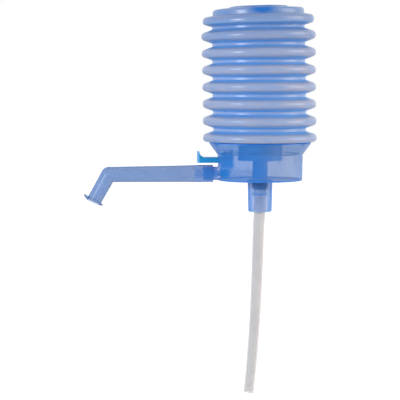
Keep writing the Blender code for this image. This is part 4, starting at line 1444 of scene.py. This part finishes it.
        material = MouldedPlastic(
            "clear_blue_base",
            (0.110, 0.264, 0.645),
            (0.090, 0.242, 0.620),
            0.22,
            solidness=0.54,
            gloss=0.25,
            edge_solidness=0.85,
            flare_height=self.shoulder_height,
            flare_slope=(rim.y - self.shoulder) / (rim.z - self.rim_round - self.shoulder_height),
            zones=(
                # Painted shade: the spout's side of the moulding is tinted deeper blue.
                Zone(0.0, 1.0, -1.0, 1.0, None, (0.040, 0.232, 0.700), 14 * MM, 24 * MM),
                Zone(0.0, self.shoulder - 0.9 * MM, 1.5 * MM, 2 * rim.z, 0.09),
                Zone(near - 0.3 * MM, self.foot, 9 * MM, plate, 0.55, (0.02, 0.26, 0.72), -near, 1.5 * MM),
                Zone(0.0, self.riser + 0.4 * MM, 1.0 * MM, self.shelf_height, 0.92, deeper_blue),
                Zone(0.0, outside, deep - self.sleeve_depth, -0.2 * MM, 0.05),
                Zone(0.0, self.sleeve + 0.4 * MM, deep - self.sleeve_depth, 1.0 * MM, 0.13, deeper_blue),
                Zone(near + MM, self.foot + 4 * MM, -MM, 12 * MM, 0.52, (0.02, 0.24, 0.72),
                     -near - MM, 5 * MM),
                Zone(self.shoulder + 0.3 * MM, self.stub_end, deep, plate, 0.77, (0.085, 0.285, 0.780),
                     -self.shoulder),
                # Painted shade: the underside round the collar is tinted dark blue and made nearly solid.
                Zone(outside, self.shoulder + 0.5 * MM, deep, 1.3 * MM, 0.92, (0.020, 0.190, 0.680)),
                Zone(self.stub_end, 1.0, deep, 1.0, 0.12),
                Zone(outside, self.shoulder + 2 * MM, rim.z - 0.9 * MM, 2 * rim.z, 0.85, deeper_blue),
            ),
        )
        hand_in(cup, material.build(), Body.ROOT, Slot.BASE, "base_cup")


@dataclass(frozen=True)
class Stem:
    """Soft tapered plug that goes into the jug cap's sleeve."""

    top_radius: float = 9.85 * MM
    end_radius: float = 9.35 * MM
    bore: float = 8.4 * MM
    end_bore: float = 7.9 * MM
    end_round: float = 1.2 * MM
    bore_turn: float = -8.2 * MM
    sides: int = 112

    def build(self) -> None:
        """Make and dress the plug."""
        low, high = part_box("stem")
        end = arc((self.end_radius - self.end_round, low.z + self.end_round), self.end_round, 0.0, -90.0, 6)
        profile = [
            (self.bore, high.z),
            (self.top_radius - 0.3 * MM, high.z),
            (self.top_radius, high.z - 0.3 * MM),
            *end,
            (self.end_bore, low.z),
            (self.bore, self.bore_turn),
        ]
        stem = turned("stem_plug", profile, self.sides, True)
        shade(stem)
        material = MouldedPlastic(
            "soft_stem_plastic",
            (0.125, 0.310, 0.740),
            (0.100, 0.285, 0.710),
            0.30,
            solidness=0.40,
            gloss=0.25,
            edge_solidness=0.90,
            edge_from=0.0,
            edge_to=0.65,
            peel=0.03 * MM,
            zones=(Zone(0.0, self.end_radius - 0.5 * MM, low.z + 0.3 * MM, 1.0, 0.05),),
        )
        hand_in(stem, material.build(), Body.ROOT, Slot.STEM, "stem")


@dataclass(frozen=True)
class Spout:
    """Long arm with its socket, the elbow, the short leg and the drip lip."""

    start: tuple[float, float] = (-37.2 * MM, 5.5 * MM)
    corner: tuple[float, float] = (-120.0 * MM, 4.58 * MM)
    leg_angle: float = 29.4
    leg_length: float = 23.6 * MM
    socket_length: float = 14.7 * MM
    socket: float = 6.85 * MM
    arm: float = 6.74 * MM
    elbow: float = 6.08 * MM
    mouth: float = 5.6 * MM
    leg_end: float = 5.75 * MM
    ball_rings: int = 24
    bore: float = 4.2 * MM
    stub_socket: float = 5.75 * MM
    stub_room: float = 8.1 * MM
    nose_socket: float = 4.65 * MM
    nose_room: float = 14.9 * MM
    lip: float = 8.4 * MM
    lip_thickness: float = 1.2 * MM
    lip_edge: float = 0.35 * MM
    lip_offset: float = 0.7 * MM
    lip_slope: float = 25.0
    lip_bend_start: float = 4.6 * MM
    lip_bend: float = 20.0
    lip_cells: int = 28
    sides: int = 72

    def _line(self) -> tuple[Vector, Vector, Vector, Vector]:
        """Give the arm's start and direction, the corner and the leg's direction."""
        start = Vector((self.start[0], 0, self.start[1]))
        corner = Vector((self.corner[0], 0, self.corner[1]))
        turn = math.radians(self.leg_angle)
        leg = Vector((-math.sin(turn), 0, -math.cos(turn)))
        return start, (corner - start).normalized(), corner, leg

    def _ball(self, name: str, radius: float) -> bpy.types.Object:
        """Make the ball that rounds the elbow or its bore.

        Args:
            name: The tool's name.
            radius: The ball's radius.

        Returns:
            The tool.
        """
        _, arm, corner, leg = self._line()
        along = (arm + leg).normalized()
        reach = radius + 0.02 * MM
        rings = []
        for index in range(self.ball_rings + 1):
            turn = math.pi * index / self.ball_rings
            across = reach * math.sin(turn) if 0 < index < self.ball_rings else 0.0
            rings.append(Ring(corner - along * reach * math.cos(turn), along, across))
        return RingStack(rings, self.sides).build(name)

    def _lip(self) -> bpy.types.Object:
        """Make the round drip lip, its front edge turned up."""
        _, _, corner, leg = self._line()
        shape = bmesh.new()
        bmesh.ops.create_grid(shape, x_segments=self.lip_cells, y_segments=self.lip_cells, size=self.lip)
        for point in shape.verts:
            across, side = point.co.x / self.lip, point.co.y / self.lip
            point.co.x = self.lip * across * math.sqrt(1 - side * side / 2)
            point.co.y = self.lip * side * math.sqrt(1 - across * across / 2)
            bent = max(0.0, point.co.x + self.lip_offset - self.lip_bend_start)
            point.co.z = bent * math.tan(math.radians(self.lip_bend)) * min(1.0, bent / (1.5 * MM))
        lip = object_from("drip_lip", shape)
        plate = lip.modifiers.new("Thickness", "SOLIDIFY")
        plate.thickness = self.lip_thickness
        plate.offset = 0
        round_edges(lip, self.lip_edge, 50.0)
        slope = math.radians(self.lip_slope)
        front = Vector((-math.cos(slope), 0, math.sin(slope)))
        up = Vector((math.sin(slope), 0, math.cos(slope)))
        turn = Matrix((front, up.cross(front), up)).transposed().to_4x4()
        mouth = corner + leg * (self.leg_length + self.lip_thickness / 2)
        settle(lip)
        lip.data.transform(Matrix.Translation(mouth + front * self.lip_offset) @ turn)
        return lip

    def build(self) -> None:
        """Make and dress the spout."""
        start, arm, corner, leg = self._line()
        step = 0.25 * MM
        outer = [
            Ring(start, arm, self.socket - step),
            Ring(start + arm * step, arm, self.socket),
            Ring(start + arm * self.socket_length, arm, self.socket),
            Ring(start + arm * (self.socket_length + 0.35 * MM), arm, self.arm),
        ]
        whole = (corner - start).length
        outer += [
            Ring(start + arm * (whole * share), arm, self.arm + (self.elbow - self.arm) * share)
            for share in (0.3, 0.45, 0.6, 0.75, 0.9, 1.0)
        ]
        spout = RingStack(outer, self.sides).build("spout_arm")
        tools = [
            self._ball("elbow_ball", self.elbow),
            RingStack([
                Ring(corner, leg, self.elbow),
                Ring(corner + leg * self.leg_length, leg, self.leg_end),
            ], self.sides).build("leg"),
            self._lip(),
        ]
        work(spout, tools, Cutting.JOIN)
        hollow = [
            Ring(start - arm * MM, arm, self.stub_socket),
            Ring(start + arm * self.stub_room, arm, self.stub_socket),
            Ring(start + arm * self.stub_room, arm, self.nose_socket),
            Ring(start + arm * self.nose_room, arm, self.nose_socket),
            Ring(start + arm * self.nose_room, arm, self.bore),
            Ring(corner, arm, self.bore),
        ]
        tools = [
            RingStack(hollow, 56).build("arm_bore"),
            self._ball("elbow_bore", self.bore),
            bar("leg_bore", corner, corner + leg * (self.leg_length + self.mouth), self.bore, 56),
        ]
        work(spout, tools, Cutting.CUT)
        shade(spout, 36.0)
        material = PipePlastic(
            "clear_blue_spout",
            (0.064, 0.205, 0.535),
            (0.048, 0.185, 0.505),
            0.26,
            solidness=0.62,
            gloss=0.2,
            edge_solidness=0.97,
            edge_from=0.35,
            zones=(Zone(0.0, self.socket_length - self.start[0], -1.0, 1.0, None, (0.040, 0.205, 0.640)),),
            corner=tuple(corner),
            arm=tuple(arm),
            leg=tuple(leg),
        )
        hand_in(spout, material.build(), Body.SPOUT, Slot.SPOUT, "spout")


@dataclass(frozen=True)
class Lever:
    """Teal release lever with its upright thumb plate."""

    bar_low: float = 14.0 * MM
    bar_high: float = 18.4 * MM
    arm_high: float = 15.7 * MM
    arm_step: float = -27.67 * MM
    thumb: float = 1.9 * MM
    fillet: float = 4.0 * MM
    edge: float = 0.35 * MM

    def build(self) -> None:
        """Make and dress the lever."""
        low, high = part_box("release_lever")
        face = low.x + self.thumb
        outline = [
            (high.x, self.bar_low),
            (high.x, self.arm_high),
            (self.arm_step, self.arm_high),
            (self.arm_step, self.bar_high),
        ]
        outline += arc((face + self.fillet, self.bar_high + self.fillet), self.fillet, 270.0, 180.0, 12)
        outline += arc((face - self.thumb / 2, high.z - self.thumb / 2), self.thumb / 2, 0.0, 180.0, 9)
        outline += [(low.x, self.bar_low)]
        shape = bmesh.new()
        front = [shape.verts.new((x, low.y, z)) for x, z in outline]
        shape.faces.new(front)
        made = bmesh.ops.extrude_face_region(shape, geom=list(shape.faces))
        moved = [item for item in made["geom"] if isinstance(item, bmesh.types.BMVert)]
        bmesh.ops.translate(shape, vec=(0, high.y - low.y, 0), verts=moved)
        bmesh.ops.recalc_face_normals(shape, faces=shape.faces)
        lever = object_from("thumb_lever", shape)
        round_edges(lever, self.edge, 40.0)
        settle(lever)
        shade(lever)
        material = MouldedPlastic(
            "teal_lever_plastic",
            (0.006, 0.250, 0.555),
            (0.004, 0.225, 0.525),
            0.30,
            gloss=0.25,
            zones=(Zone(0.0, 1.0, 0.0, 1.0, None, (0.130, 0.400, 0.740), face + 0.3 * MM, 0.8 * MM),),
        )
        hand_in(lever, material.build(), Body.LEVER, Slot.LEVER, "release_lever")


@dataclass(frozen=True)
class Innards:
    """Pieces inside the pump, which keep their CAD shapes and get finishes."""

    plastic: tuple[str, ...] = ("valve_cage", "delivery_stud")
    disc: tuple[str, ...] = ("valve_plate",)
    clear: tuple[str, ...] = ("bellows_ring", "intake_stud")
    seals: tuple[str, ...] = ("valve_plate_gasket", "vent_pad", "spout_seal")
    hose_seal: tuple[str, ...] = ("tube_seal",)
    flaps: tuple[str, ...] = ("delivery_valve", "intake_valve")
    metal: tuple[str, ...] = ("lever_pin", "lever_spring")
    housing: float = 17.7 * MM

    def build(self, nodes: Mapping[str, bpy.types.Object]) -> None:
        """Dress the CAD nodes.

        Args:
            nodes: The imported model's nodes by name.
        """
        inner = MouldedPlastic("blue_inner_plastic", (0.050, 0.340, 0.930), (0.040, 0.310, 0.900), 0.3)
        plate = MouldedPlastic(
            "blue_plate_plastic",
            (0.050, 0.340, 0.930),
            (0.040, 0.310, 0.900),
            0.3,
            solidness=0.06,
            edge_solidness=0.09,
            zones=(Zone(0.0, self.housing, 0.0, 1.0, 1.0),),
        )
        ring = ClearPlastic("clear_ring_plastic", (0.84, 0.90, 0.98), (0.80, 0.87, 0.97))
        finishes = (
            (self.plastic, inner),
            (self.disc, plate),
            (self.clear, ring),
            (self.seals, Rubber("blue_seal_rubber", (0.03, 0.22, 0.60), (0.05, 0.25, 0.62))),
            (self.hose_seal, Rubber("pale_seal_rubber", (0.30, 0.48, 0.86), (0.25, 0.44, 0.82))),
            (self.flaps, Rubber("milky_silicone", (0.62, 0.66, 0.70), (0.50, 0.55, 0.60), 0.45)),
            (self.metal, DrawnSteel()),
        )
        for names, finish in finishes:
            material = finish.build()
            for name in names:
                dress(nodes[name], material)
                LOG.info("%s: CAD shape in %s", name, finish.name)


def main() -> None:
    """Build the pump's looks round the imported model."""
    logging.basicConfig(level=logging.INFO, format="%(name)s: %(message)s")
    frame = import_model()
    Camera().build()
    DipTube().build()
    Bellows().build()
    Base().build()
    Stem().build()
    Spout().build()
    Lever().build()
    Innards().build(frame["nodes"])
    Studio().build()


if __name__ == "__main__":
    main()
